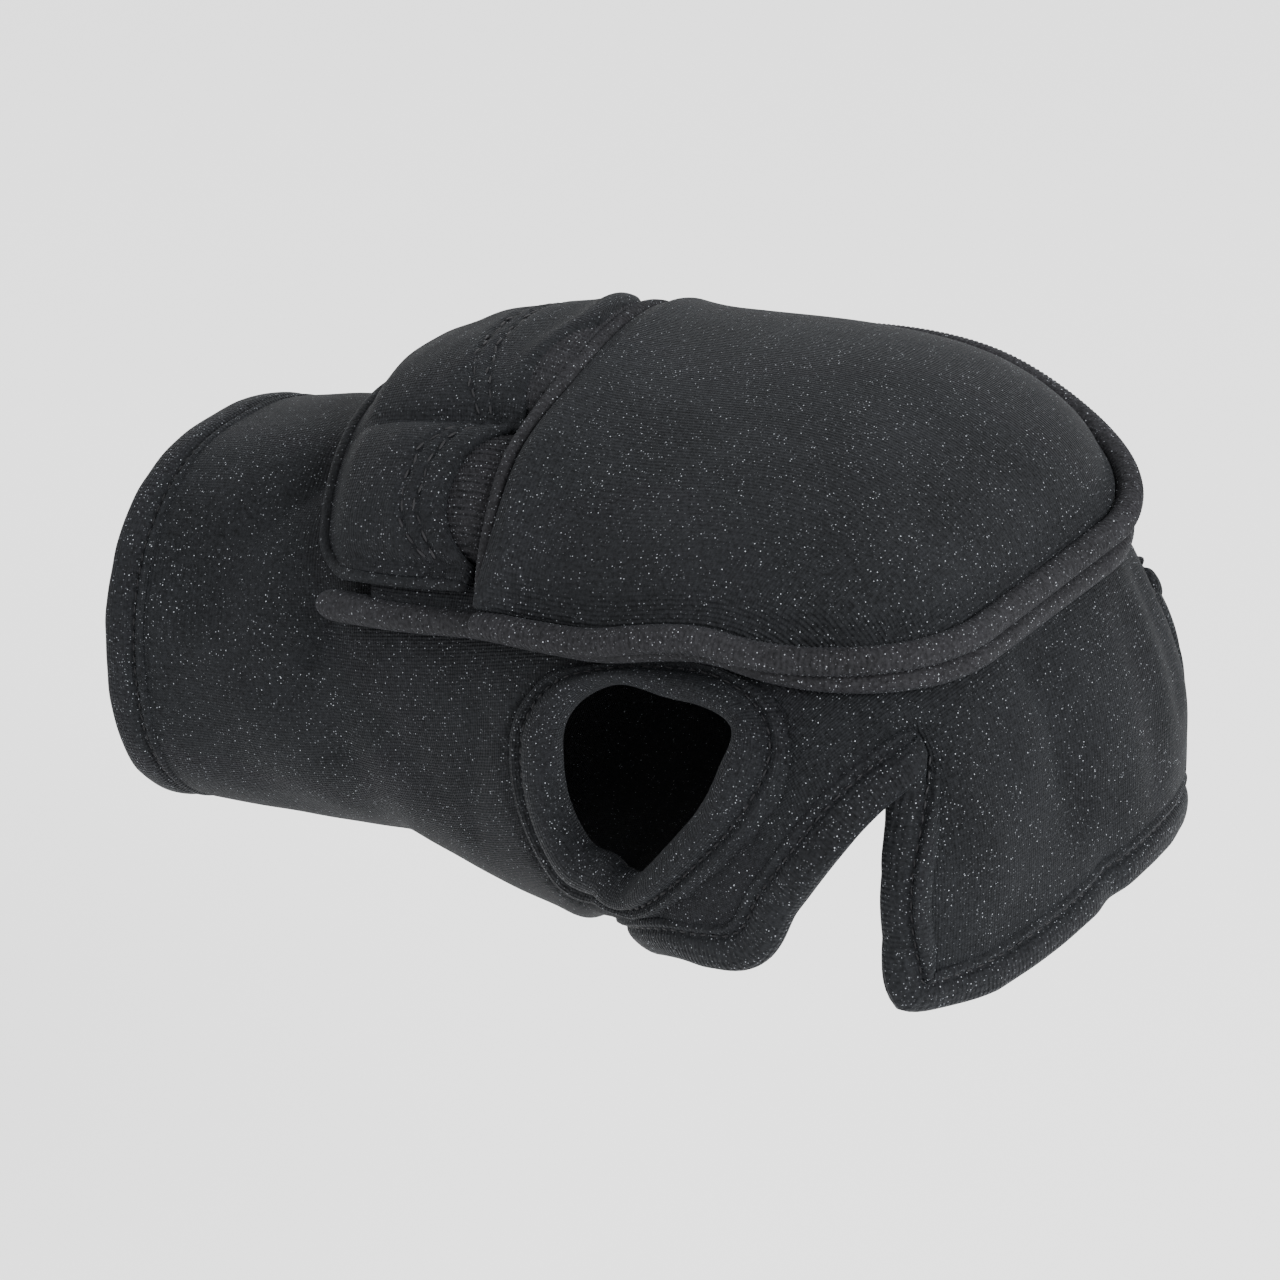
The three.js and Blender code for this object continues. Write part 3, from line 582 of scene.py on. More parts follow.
def shell_sheet():
    """The shell as one layer: places, quads of place indices, and unwrapped corner places."""
    across = np.arange(COVER_COLUMNS + 1) / COVER_COLUMNS
    cover = INDEX_SLIT + (LITTLE_SLIT - INDEX_SLIT) * across
    palm = LITTLE_SLIT + (INDEX_SLIT + 360 - LITTLE_SLIT) * np.arange(1, PALM_COLUMNS + 1) / PALM_COLUMNS
    angle = np.concatenate([cover, palm])
    end = np.where(angle > LITTLE_SLIT, palm_station(angle - 360), SLIT_STATION)
    part = np.arange(BODY_ROWS + 1)[:, None] / BODY_ROWS
    station = mouth_station() + (end[None] - mouth_station()) * part
    body = np.stack([station, np.broadcast_to(angle, station.shape)], -1)
    index = np.arange((BODY_ROWS + 1) * (len(angle) - 1)).reshape(BODY_ROWS + 1, -1)
    index = np.concatenate([index, index[:, :1]], 1)
    places = [body[:, :-1].reshape(-1, 2)]
    down, across = np.meshgrid(np.arange(1, COVER_ROWS + 1) / COVER_ROWS, across, indexing="ij")
    flat = np.stack(cover_place(down, across), -1)
    cover_index = index.max() + 1 + np.arange(flat[..., 0].size).reshape(down.shape)
    places.append(flat.reshape(-1, 2))
    cover_index = np.concatenate([index[-1:, :COVER_COLUMNS + 1], cover_index])
    cover_full = np.concatenate([body[-1:, :COVER_COLUMNS + 1], flat])
    quads = [cells(index), cells(cover_index)]
    corners = [cells(body), cells(cover_full)]
    return np.concatenate(places), np.concatenate(quads), np.concatenate(corners)


NEAREST_BATCH = 4000


def nearest(points, line):
    """Distance to the nearest point of a line, and that point's number."""
    best = np.zeros(len(points))
    which = np.zeros(len(points), int)
    for start in range(0, len(points), NEAREST_BATCH):
        batch = slice(start, start + NEAREST_BATCH)
        away = np.linalg.norm(points[batch][:, None] - line[None], axis=-1)
        which[batch] = away.argmin(1)
        best[batch] = away.min(1)
    return best, which


def inside(points, line):
    """Which 2-D points lie inside a closed line."""
    x, y = points[:, 0][:, None], points[:, 1][:, None]
    x0, y0 = line[:, 0][None], line[:, 1][None]
    x1, y1 = np.roll(line[:, 0], -1)[None], np.roll(line[:, 1], -1)[None]
    cross = ((y0 > y) != (y1 > y)) & (x < (x1 - x0) * (y - y0) / (y1 - y0 + 1e-12) + x0)
    return cross.sum(1) % 2 == 1


def seam_runs():
    """The lines along which the hems and the thumb binding are sewn to the shell."""
    turn = np.arange(0, 360, MOUTH_TURN)
    mouth = np.stack([np.full(turn.shape, mouth_station()), turn], -1)
    palm = line_of(PALM_SEAM, "station", "angle")[::-1]
    thumb = line_of(THUMB_SEAM, "station", "angle", closed=True)
    side = np.linspace(0, 1, SIDE_POINTS)
    start, end = np.zeros(SIDE_POINTS), np.ones(SIDE_POINTS)
    index, free, little = (np.stack(cover_place(*place), -1)
                           for place in ((side, start), (end, side), (side[::-1], end)))
    cover = Run(np.concatenate([index, free[1:], little[1:]]), False, 1, soften=4)
    corner = np.linalg.norm(cover.point - on_shell(*cover_place(np.array(1.0), np.array(0.0))), axis=1)
    fade = np.clip(1 - (cover.at - cover.at[corner.argmin()]) / TURN_FADE, 0, 1)
    cover.turn_under(np.interp(cover.place[:, 0], HEM_TURN["station"], HEM_TURN["turn"]) * fade)
    return {"mouth": Run(mouth, True, -1), "palm": Run(palm, False, -1), "cover": cover,
            "thumb": Run(thumb, True, 1)}


def make_shell_mesh(runs, sizes):
    places, quads, corners = shell_sheet()
    chart = chart_of(places[:, 0], wrapped(places[:, 1]))
    thumb = runs["thumb"].place
    seam = chart_of(thumb[:, 0], wrapped(thumb[:, 1]))
    whole = np.ptp(chart[quads][..., 1], axis=1) < CHART_JUMP
    cut = inside(chart[quads].mean(1), seam) & whole
    kept, corners = quads[~cut], corners[~cut]
    edge = np.intersect1d(quads[cut], kept)
    _, which = nearest(chart[edge], seam)
    places[edge] = thumb[which]

    points = on_shell(*places.T)
    up = normal(*places.T)
    lift = np.zeros(len(points))
    for run in runs.values():
        away, which = nearest(points, run.point)
        pucker = 1 + SEAM_PUCKER * np.cos(2 * math.pi * run.at[which] / (sizes.stitch_pitch / MM))
        lift = lift - SEAM_DEPTH * pucker * hill(away, SEAM_WIDTH)
    outer = points + up * lift[:, None]
    inner = points - up * WALL

    used = np.unique(kept)
    renumber = np.zeros(len(points), int)
    renumber[used] = np.arange(len(used))
    kept = renumber[kept]
    cloth = Cloth()
    over, below = cloth.add(outer[used]), cloth.add(inner[used])
    turn = np.where(corners[..., 1].mean(1) > 270, 360, 0)[:, None]
    flat = chart_of(corners[..., 0], corners[..., 1] - turn)
    cloth.quads(over[kept], flat)
    cloth.quads(below[kept][:, ::-1], flat[:, ::-1])
    edges = np.concatenate([np.stack([kept[:, k], kept[:, (k + 1) % 4]], 1) for k in range(4)])
    key = np.sort(edges, 1) @ np.array([len(points) * 2, 1])
    _, first, count = np.unique(key, return_index=True, return_counts=True)
    rim = edges[first[count == 1]]
    rim_chart = chart[used][rim]
    wall = np.stack([over[rim[:, 1]], over[rim[:, 0]], below[rim[:, 0]], below[rim[:, 1]]], 1)
    deep = np.array([WALL, 0.0])
    wall_chart = [rim_chart[:, 1], rim_chart[:, 0], rim_chart[:, 0] + deep, rim_chart[:, 1] + deep]
    cloth.quads(wall, np.stack(wall_chart, 1))
    return cloth.mesh("glove_shell")


# Hems and the thumb binding

# Sections, closed once round: across as a share of the width from the stitch line to the free
# edge, and rise above the shell's outer face in millimetres.
HEM_SECTION = table("across rise", [
    [-0.36, -1.2], [-0.33, -0.5], [-0.27, 0.1], [-0.19, 0.32], [-0.1, 0.1], [-0.03, -0.4],
    [0.02, -0.5], [0.08, -0.1], [0.16, 0.35], [0.28, 0.58], [0.45, 0.66], [0.65, 0.58],
    [0.83, 0.25], [0.95, -0.5], [1.0, -1.5], [0.95, -2.6], [0.82, -3.35], [0.6, -3.65],
    [0.35, -3.5], [0.12, -3.1], [-0.1, -2.5], [-0.36, -2.2],
])
RING_SECTION = table("across rise", [
    [-0.16, -0.8], [-0.06, -0.5], [0.0, -0.1], [0.05, 0.45], [0.11, 0.7], [0.18, 0.55],
    [0.235, 0.1], [0.28, -0.15], [0.33, 0.1], [0.39, 0.8], [0.5, 1.55], [0.63, 1.9],
    [0.77, 1.75], [0.9, 1.1], [0.98, 0.2], [1.03, -0.9], [1.0, -2.2], [0.9, -3.3],
    [0.72, -4.0], [0.48, -4.1], [0.2, -3.6], [0.0, -2.9], [-0.16, -2.2],
])
STRIP_WIDTH = 5.0      # the points of a section are evenly spaced on a strip this wide
STRIP_SIDES = 44
GROOVE_WIDTH = 0.1     # of the stitch groove, as a share of the strip's width
FACE_FLOOR = -1.2      # a strip's face lies above this, its underside below
STITCH_DIP = 0.16      # rise and fall along a stitch row
EDGE_WAVES = ((0.3, 14, 21), (0.12, 5, 22))
EDGE_RISE = 0.7        # how much of the waves lifts the free edge
EDGE_SHIFT = 0.5       # and how much moves it outwards


def section_points(section):
    """Evenly spaced points round a strip, as how far across they lie and how high."""
    line = looped(line_of(section, "across", "rise", per=8, closed=True))
    length = reach(line * np.array([STRIP_WIDTH, 1.0]))
    at = np.linspace(0, length[-1], STRIP_SIDES + 1)[:-1]
    return [np.interp(at, length, column) for column in line.T]


def strip_mesh(name, run, section, width, stout, sizes, groove=0.0, out=None, sink=0.0):
    """A folded strip that follows a seam. Width, stoutness and sink may change along it."""
    across, rise = section_points(section)
    width, stout, sink = (np.broadcast_to(value, run.at.shape)[:, None] for value in (width, stout, sink))
    out = run.out if out is None else out
    pucker = STITCH_DIP * np.cos(2 * math.pi * run.at / (sizes.stitch_pitch / MM))[:, None]
    near_groove = hill(across - groove, GROOVE_WIDTH) * (rise > FACE_FLOOR)
    wave = waves(run.point, EDGE_WAVES)[:, None] * np.clip(across, 0, 1) ** 2
    middle = -WALL / 2
    height = middle + (rise - middle) * stout - sink + pucker * near_groove + wave * EDGE_RISE
    reach_out = across * width + EDGE_SHIFT * wave
    points = (run.point[:, None] + out[:, None] * reach_out[..., None]
              + run.up[:, None] * height[..., None])
    girth = reach(looped(points[0]))
    cloth = Cloth()
    index = cloth.add(points)
    index = np.concatenate([index, index[:, :1]], 1)
    at = run.at
    if run.closed:
        index = looped(index)
        at = np.append(at, run.total)
    chart = np.stack(np.meshgrid(at, girth, indexing="ij")[::-1], -1)
    cloth.grid(index, chart)
    if not run.closed:
        cloth.cap(index[0, :-1], chart[0, :-1])
        cloth.cap(index[-1, :-1], chart[-1, :-1], flip=True)
    return cloth.mesh(name)


def rounded_end(distance, size):
    """A share that grows from nothing at an end to one, as a quarter circle does."""
    part = np.clip(distance / size, 0.0, 1.0)
    return np.sqrt(1 - (1 - part) ** 2)


# Pieces that follow a path

THREAD_WANDER = 0.16     # how far a thread may point away from its path
CORD_TIP = 0.12          # thickness of a cord at its very end, as a share


def value_node(tree, kind, *values, operation=None, **settings):
    """A node with its inputs set to numbers or linked to other sockets."""
    node = tree.nodes.new(kind)
    if operation:
        node.operation = operation
    for name, value in settings.items():
        setattr(node, name, value)
    for socket, value in zip(node.inputs, values):
        if value is None:
            continue
        if isinstance(value, bpy.types.NodeSocket):
            tree.links.new(value, socket)
        else:
            socket.default_value = value
    return node


def math_node(tree, operation, *values):
    return value_node(tree, "ShaderNodeMath", *values, operation=operation).outputs[0]


def start_tree(name, inputs):
    """A node tree from geometry to geometry with named inputs."""
    tree = bpy.data.node_groups.new(name, "GeometryNodeTree")
    tree.interface.new_socket("Geometry", in_out="INPUT", socket_type="NodeSocketGeometry")
    for label, kind in inputs:
        tree.interface.new_socket(label, in_out="INPUT", socket_type=kind)
    tree.interface.new_socket("Geometry", in_out="OUTPUT", socket_type="NodeSocketGeometry")
    source = tree.nodes.new("NodeGroupInput")
    return tree, {socket.name: socket for socket in source.outputs}


def finish_tree(tree, geometry, material):
    real = value_node(tree, "GeometryNodeRealizeInstances", geometry).outputs[0]
    smooth = value_node(tree, "GeometryNodeSetShadeSmooth", real).outputs[0]
    dressed = value_node(tree, "GeometryNodeSetMaterial", smooth, None, material).outputs[0]
    sink = tree.nodes.new("NodeGroupOutput")
    tree.links.new(dressed, sink.inputs[0])


def stitch_tree():
    """Threads laid end to end along a path, each with a small change of its own."""
    tree, given = start_tree("stitch row", [
        ("Pitch", "NodeSocketFloat"), ("Length", "NodeSocketFloat"), ("Thickness", "NodeSocketFloat"),
        ("Wander", "NodeSocketFloat"), ("Seed", "NodeSocketInt"), ("Material", "NodeSocketMaterial")])
    curve = value_node(tree, "GeometryNodeMeshToCurve", given["Geometry"]).outputs[0]
    even = value_node(tree, "GeometryNodeResampleCurve", curve, None, None, given["Pitch"],
                      mode="LENGTH").outputs[0]
    tangent = tree.nodes.new("GeometryNodeInputTangent").outputs[0]
    up = value_node(tree, "GeometryNodeInputNamedAttribute", "up", data_type="FLOAT_VECTOR").outputs[0]
    stray = value_node(tree, "FunctionNodeRandomValue", (-1, -1, -1), (1, 1, 1), data_type="FLOAT_VECTOR")
    tree.links.new(given["Seed"], stray.inputs["Seed"])
    sway = value_node(tree, "ShaderNodeVectorMath", stray.outputs[0], operation="SCALE")
    tree.links.new(given["Wander"], sway.inputs["Scale"])
    aim = value_node(tree, "ShaderNodeVectorMath", tangent, sway.outputs[0], operation="ADD").outputs[0]
    turn = value_node(tree, "FunctionNodeAxesToRotation", aim, up, primary_axis="X", secondary_axis="Z")
    half_length = math_node(tree, "MULTIPLY", given["Length"], 0.5)
    half_thick = math_node(tree, "MULTIPLY", given["Thickness"], 0.5)
    scale = value_node(tree, "ShaderNodeCombineXYZ", half_length, half_thick, half_thick).outputs[0]
    thread = value_node(tree, "GeometryNodeMeshIcoSphere", 1.0, 2).outputs[0]
    row = value_node(tree, "GeometryNodeInstanceOnPoints", even, None, thread, None, None,
                     turn.outputs[0], scale)
    finish_tree(tree, row.outputs[0], given["Material"])
    return tree


def cord_tree():
    """A round cord along a path, with ribs across it and rounded ends."""
    tree, given = start_tree("ribbed cord", [
        ("Radius", "NodeSocketFloat"), ("Step", "NodeSocketFloat"), ("Rib Pitch", "NodeSocketFloat"),
        ("Rib Depth", "NodeSocketFloat"), ("End", "NodeSocketFloat"), ("Sides", "NodeSocketInt"),
        ("Material", "NodeSocketMaterial")])
    curve = value_node(tree, "GeometryNodeMeshToCurve", given["Geometry"]).outputs[0]
    even = value_node(tree, "GeometryNodeResampleCurve", curve, None, None, given["Step"],
                      mode="LENGTH").outputs[0]
    here = tree.nodes.new("GeometryNodeSplineParameter").outputs["Length"]
    total = tree.nodes.new("GeometryNodeSplineLength").outputs["Length"]
    turns = math_node(tree, "DIVIDE", here, given["Rib Pitch"])
    wave = math_node(tree, "SINE", math_node(tree, "MULTIPLY", turns, 2 * math.pi))
    rib = math_node(tree, "MULTIPLY_ADD", wave, given["Rib Depth"], 1.0)
    rest = math_node(tree, "SUBTRACT", total, here)
    away = math_node(tree, "DIVIDE", math_node(tree, "MINIMUM", here, rest), given["End"])
    short = math_node(tree, "SUBTRACT", 1.0, math_node(tree, "MINIMUM", away, 1.0))
    square = math_node(tree, "MULTIPLY", short, short)
    taper = math_node(tree, "SQRT", math_node(tree, "SUBTRACT", 1.0, square))
    thick = value_node(tree, "GeometryNodeInputNamedAttribute", "thick", data_type="FLOAT").outputs[0]
    stout = math_node(tree, "MULTIPLY", math_node(tree, "MULTIPLY", rib, given["Radius"]), thick)
    girth = math_node(tree, "MULTIPLY", stout, math_node(tree, "MAXIMUM", taper, CORD_TIP))
    ring = tree.nodes.new("GeometryNodeCurvePrimitiveCircle")
    tree.links.new(given["Sides"], ring.inputs["Resolution"])
    ring.inputs["Radius"].default_value = 1.0
    tube = value_node(tree, "GeometryNodeCurveToMesh", even, ring.outputs[0], girth, True).outputs[0]
    finish_tree(tree, tube, given["Material"])
    return tree


def path_mesh(name, points, up=None, closed=False, thick=1.0):
    """A line of points as a mesh of edges, with the way up and the thickness at each point."""
    count = len(points)
    edges = [(i, (i + 1) % count) for i in range(count if closed else count - 1)]
    mesh = bpy.data.meshes.new(name)
    mesh.from_pydata((points * MM).tolist(), edges, [])
    if up is not None:
        layer = mesh.attributes.new("up", "FLOAT_VECTOR", "POINT")
        layer.data.foreach_set("vector", np.asarray(up, np.float32).reshape(-1))
    layer = mesh.attributes.new("thick", "FLOAT", "POINT")
    layer.data.foreach_set("value", np.broadcast_to(thick, count).astype(np.float32))
    return mesh


def grown(name, mesh, tree, values):
    """The plain mesh that a node tree grows on a path."""
    holder = place_piece(mesh, name + "_path")
    modifier = holder.modifiers.new("grow", "NODES")
    modifier.node_group = tree
    sockets = {item.name: item.identifier for item in tree.interface.items_tree
               if item.item_type == "SOCKET" and item.in_out == "INPUT"}
    for label, value in values.items():
        modifier[sockets[label]] = value
    depsgraph = bpy.context.evaluated_depsgraph_get()
    result = bpy.data.meshes.new_from_object(holder.evaluated_get(depsgraph))
    result.name = name
    holder.modifiers.remove(modifier)
    bpy.data.objects.remove(holder)
    return result


TREES = {}


def stitches(name, lines, sizes, material, seed, length=None, pitch=None):
    """Rows of thread along lines of points and ways up, as one piece."""
    tree = TREES.get("stitch") or TREES.setdefault("stitch", stitch_tree())
    parts = []
    for k, (points, up, closed) in enumerate(lines):
        parts.append(grown(name, path_mesh(name, points, up, closed), tree, {
            "Pitch": pitch or sizes.stitch_pitch, "Length": length or sizes.stitch_length,
            "Thickness": sizes.thread_thickness, "Wander": THREAD_WANDER, "Seed": seed + k,
            "Material": material}))
    return place_piece(joined(name, parts), name, material)


def joined(name, meshes):
    """Several meshes as one."""
    points, faces, shift = [], [], 0
    for mesh in meshes:
        points.extend(v.co[:] for v in mesh.vertices)
        faces.extend([i + shift for i in polygon.vertices] for polygon in mesh.polygons)
        shift += len(mesh.vertices)
    whole = bpy.data.meshes.new(name)
    whole.from_pydata(points, [], faces)
    whole.polygons.foreach_set("use_smooth", [True] * len(whole.polygons))
    for mesh in meshes:
        bpy.data.meshes.remove(mesh)
    return whole


def cord(name, points, radius, material, end, step, sides, pitch=1.0, depth=0.0, thick=1.0):
    tree = TREES.get("cord") or TREES.setdefault("cord", cord_tree())
    mesh = grown(name, path_mesh(name, points, thick=thick), tree, {
        "Radius": radius * MM, "Step": step * MM, "Rib Pitch": pitch * MM, "Rib Depth": depth,
        "End": end * MM, "Sides": sides, "Material": material})
    return place_piece(mesh, name)


def ribbed_cord(name, points, radius, sizes, depth, end, parts, sides, thick=1.0):
    """A cord of the binding, with so many parts to each of its ribs."""
    pitch = sizes.rib_pitch / MM
    return cord(name, points, radius, finish("binding"), end, pitch / parts, sides, pitch, depth, thick)


# The panels on the glove's back

BEND_STEPS = 45
CROWDING = 0.65          # how much the points of a panel crowd towards its edges

# The pad's face, in millimetres; a part is a share of the pad's length.
RIM_RISE = 1.6           # its edge over the base panel
RIDGE_RISE = 2.9         # and more of it where the ridge is sewn on
RIDGE_REACH = 4.5
RIDGE_PART = 0.12
RIDGE_SWELL = 1.3
SHOULDER = 13            # width of its sloping border
RIDGE_SHOULDER = 8
SHOULDER_POWER = 2.6
FRONT_SWELL = 1.2        # it is fullest near its front
FRONT_PART = 0.86
FRONT_SPREAD = 0.16
FAR_START = 2            # beyond this it flattens towards its far side
FAR_SPAN = 30
FAR_LOSS = 0.45
FAR_FADE = (0.1, 0.4)    # the part where that begins, and how long it takes
RUT_DEPTH = 0.5          # the rut of the seam inside its edge
RUT_INSET = 2.1
RUT_WIDTH = 0.8
BOW = 0.6                # the ridge's seam lies this far to the front
BOW_DRAW = 1.6           # but is drawn back beside the near lobe
BOW_AROUND = -20
BOW_SPREAD = 9

# The flap's face, in millimetres.
MOUTH_POWER = 2.6        # how full the curve of a mouth is, seen from above
PUFF_POWER = 3.2         # and seen from its end
STITCH_PULL = 5.5        # how far the stitch rows are drawn back at a lobe
STITCH_SETBACK = (4.4, 7.2)   # two rows beside each mouth
FLAP_RISE = 1.7
VALLEY_RISE = 0.6
PUFF_ROUND = 2.4
PUFF_FALL = 0.22         # how far a lobe falls again towards its mouth
LIP_INSET = 1.2          # the raised rim of each mouth
LIP_WIDTH = 2.6
LIP_RISE = (0.3, 1.6)
ROW_WIDTH = 0.75         # the groove of each stitch row
ROW_DEPTH = 0.55


def round_front(panel, around):
    """The front edge of a panel whose two front corners are round."""
    middle = (panel["thumb"] + panel["little"]) / 2
    straight = (panel["little"] - panel["thumb"]) / 2 - panel["corner"]
    off = np.clip((np.abs(around - middle) - straight) / panel["corner"], 0, 1)
    return panel["front"] - panel["corner"] * (1 - np.sqrt(1 - off * off))


def round_path(panel, margin, lift, start):
    """Along a panel's side, round its front and back along its other side."""
    corner = panel["corner"] + margin
    thumb, little = panel["thumb"] - margin, panel["little"] + margin
    turn = panel["front"] + margin - corner
    side = np.arange(start, turn, 1.0)
    bend = np.radians(np.linspace(0, 90, BEND_STEPS + 1)[:-1])
    along = [side, turn + corner * np.sin(bend), turn + corner * np.cos(bend), side[::-1]]
    around = [np.full_like(side, thumb), thumb + corner - corner * np.cos(bend),
              little - corner + corner * np.sin(bend), np.full_like(side, little)]
    return on_panel(np.concatenate(along), np.concatenate(around), lift)


def crowded(count):
    """Parts from 0 to 1 that crowd towards both ends."""
    even = np.linspace(0, 1, count)
    return (1 - CROWDING) * even + CROWDING * (0.5 - 0.5 * np.cos(math.pi * even))


def panel_grid(thumb, little, back, front, rows, columns):
    """Chart places of a panel between its back and front edge."""
    around = thumb + (little - thumb) * crowded(rows)
    part = crowded(columns)[None]
    along = back(around)[:, None] * (1 - part) + front(around)[:, None] * part
    return along, np.broadcast_to(around[:, None], along.shape), np.broadcast_to(part, along.shape)


def edge_distance(along, around):
    """Distance of each place of a grid from the grid's border, on the chart."""
    flat = np.stack([along, around], -1)
    border = np.concatenate([flat[0], flat[:, -1], flat[-1][::-1], flat[::-1, 0]])
    dense = [border[:-1] + (border[1:] - border[:-1]) * t for t in (0, 0.25, 0.5, 0.75)]
    away, _ = nearest(flat.reshape(-1, 2), np.concatenate(dense))
    return away.reshape(along.shape)


def pad_shape(along, around, sizes):
    """Height of the filled pad over the shell: steep sides and a broad, nearly flat top."""
    away = edge_distance(along, around)
    rim = UPPER + RIM_RISE + RIDGE_RISE * hill(along - PAD["back"], RIDGE_REACH)
    part = (along - PAD["back"]) / (PAD["front"] - PAD["back"])
    at_ridge = hill(part, RIDGE_PART)
    slope = SHOULDER - (SHOULDER - RIDGE_SHOULDER) * at_ridge
    shoulder = 1 - (1 - np.clip(away / slope, 0, 1)) ** SHOULDER_POWER
    swell = sizes.pad_rise / MM + FRONT_SWELL * hill(part - FRONT_PART, FRONT_SPREAD)
    swell = swell + RIDGE_SWELL * at_ridge
    far = soft_step(np.clip((around - FAR_START) / FAR_SPAN, 0, 1))
    swell = swell * (1 - FAR_LOSS * far * np.clip((part - FAR_FADE[0]) / FAR_FADE[1], 0, 1))
    return rim + swell * shoulder - RUT_DEPTH * hill(away - RUT_INSET, RUT_WIDTH)


def ridge_bow(around):
    """How far the seam between the pad and its ridge bows to the front."""
    return BOW - BOW_DRAW * hill(around - BOW_AROUND, BOW_SPREAD)


FILLING = {
    "quality": 6, "mass": 0.25, "tension_stiffness": 18, "compression_stiffness": 14,
    "shear_stiffness": 6, "bending_stiffness": 2.5, "vertex_group_mass": "held", "use_pressure": True,
}
FILL_FRAMES = 20


def fill_with_air(piece, pinned, cap, pressure):
    """Lets a closed mesh swell like a filled pad, with some points held."""
    start = np.array([v.co[:] for v in piece.data.vertices])
    group = piece.vertex_groups.new(name="held")
    group.add([int(i) for i in pinned], 1.0, "REPLACE")
    scene = bpy.context.scene
    modifier = piece.modifiers.new("fill", "CLOTH")
    settings = modifier.settings
    for name, value in FILLING.items():
        setattr(settings, name, value)
    settings.uniform_pressure_force = pressure
    settings.effector_weights.gravity = 0
    modifier.collision_settings.use_collision = False
    modifier.point_cache.frame_start = 1
    modifier.point_cache.frame_end = FILL_FRAMES
    for number in range(1, FILL_FRAMES + 1):
        scene.frame_set(number)
    depsgraph = bpy.context.evaluated_depsgraph_get()
    moved = np.array([v.co[:] for v in piece.evaluated_get(depsgraph).data.vertices])
    piece.modifiers.remove(modifier)
    piece.vertex_groups.clear()
    scene.frame_set(1)
    step = moved - start
    size = np.linalg.norm(step, axis=1, keepdims=True)
    step = step * (np.minimum(size, cap * MM) / np.maximum(size, 1e-9))
    piece.data.vertices.foreach_set("co", (start + step).reshape(-1))
    piece.data.update()


def subdivided(piece, levels):
    modifier = piece.modifiers.new("fine", "SUBSURF")
    modifier.levels = levels
    modifier.render_levels = levels
    depsgraph = bpy.context.evaluated_depsgraph_get()
    mesh = bpy.data.meshes.new_from_object(piece.evaluated_get(depsgraph))
    piece.modifiers.remove(modifier)
    old = piece.data
    name = old.name
    piece.data = mesh
    bpy.data.meshes.remove(old)
    mesh.name = name
    mesh.polygons.foreach_set("use_smooth", [True] * len(mesh.polygons))


def flap_slant(around):
    return FLAP["back"] - FLAP["slant"] * around


def flap_back(around):
    inside_edge = np.minimum(np.minimum(around - FLAP["thumb"], FLAP["little"] - around), FLAP["corner"])
    off = 1 - np.clip(inside_edge, 0, None) / FLAP["corner"]
    return flap_slant(around) + FLAP["corner"] * (1 - np.sqrt(1 - off * off))


def lobe_share(around, row, power):
    """How much of a lobe stands at a place across the flap."""
    off = np.abs((around - LOBES["middle"][row]) / LOBES["half"][row])
    return np.where(off >= 1, 0, 1 - np.minimum(off, 1) ** power)


def flap_mouth(around):
    along = FLAP["mouth"] + 0.0 * around
    for row in (0, 1):
        part = np.clip((around - LOBES["middle"][row]) / LOBES["half"][row] + 1, 0, 1)
        pull = LOBES["pull"][row] + (LOBES["far_pull"][row] - LOBES["pull"][row]) * part
        along = along - lobe_share(around, row, MOUTH_POWER) * pull
    return along


def stitched_mouth(around):
    """The line that the stitch rows of the flap follow."""
    return FLAP["mouth"] - STITCH_PULL * sum(lobe_share(around, row, MOUTH_POWER) for row in (0, 1))


def flap_low(along, around):
    """Height of the flap's underside, which comes down to the shell at its wrist edge."""
    down = soft_step(1 - np.clip((along - flap_slant(around)) / FLAP_DROP, 0, 1))
    return UPPER - (UPPER - SEAT) * down


def flap_shape(along, around):
    """Height of the flap's face: two lobes like half drums, with a valley between them."""
    back, mouth = flap_back(around), flap_mouth(around)
    part = np.clip((along - back) / (mouth - back), 0, 1)
    puff = (1 - (1 - part) ** PUFF_ROUND) * (1 - PUFF_FALL * part ** 5)
    rise = sum(LOBES["rise"][row] * np.sqrt(lobe_share(around, row, PUFF_POWER)) for row in (0, 1))
    lip = sum(LIP_RISE[row] * lobe_share(around, row, MOUTH_POWER) for row in (0, 1))
    height = flap_low(along, around) + FLAP_RISE + (rise + VALLEY_RISE) * puff
    height = height + hill(mouth - along - LIP_INSET, LIP_WIDTH) * lip
    for setback in STITCH_SETBACK:
        groove = hill(stitched_mouth(around) - along - setback, ROW_WIDTH)
        height = height - ROW_DEPTH * groove * (1 + 0.3 * np.cos(2.1 * around))
    return height


# Finishes

def shader_material(name, colour):
    material = bpy.data.materials.new(name)
    material.use_nodes = True
    tree = material.node_tree
    tree.nodes.clear()
    output = tree.nodes.new("ShaderNodeOutputMaterial")
    shader = tree.nodes.new("ShaderNodeBsdfPrincipled")
    tree.links.new(shader.outputs[0], output.inputs["Surface"])
    shader.inputs["Base Color"].default_value = (*colour, 1)
    return material, tree, shader


def set_inputs(node, values):
    for name, value in values.items():
        node.inputs[name].default_value = value


def object_place(tree):
    return tree.nodes.new("ShaderNodeTexCoord").outputs["Object"]


def noise(tree, place, scale, detail=2.0):
    node = value_node(tree, "ShaderNodeTexNoise", place)
    set_inputs(node, {"Scale": scale, "Detail": detail})
    return node.outputs[0]


def ramp(tree, value, dark, light, start=0.0, end=1.0):
    """A colour that goes from dark to light as a value grows."""
    node = value_node(tree, "ShaderNodeValToRGB", value)
    for k, (colour, position) in enumerate(((dark, start), (light, end))):
        node.color_ramp.elements[k].position = position
        node.color_ramp.elements[k].color = (*colour, 1)
    return node.outputs[0]


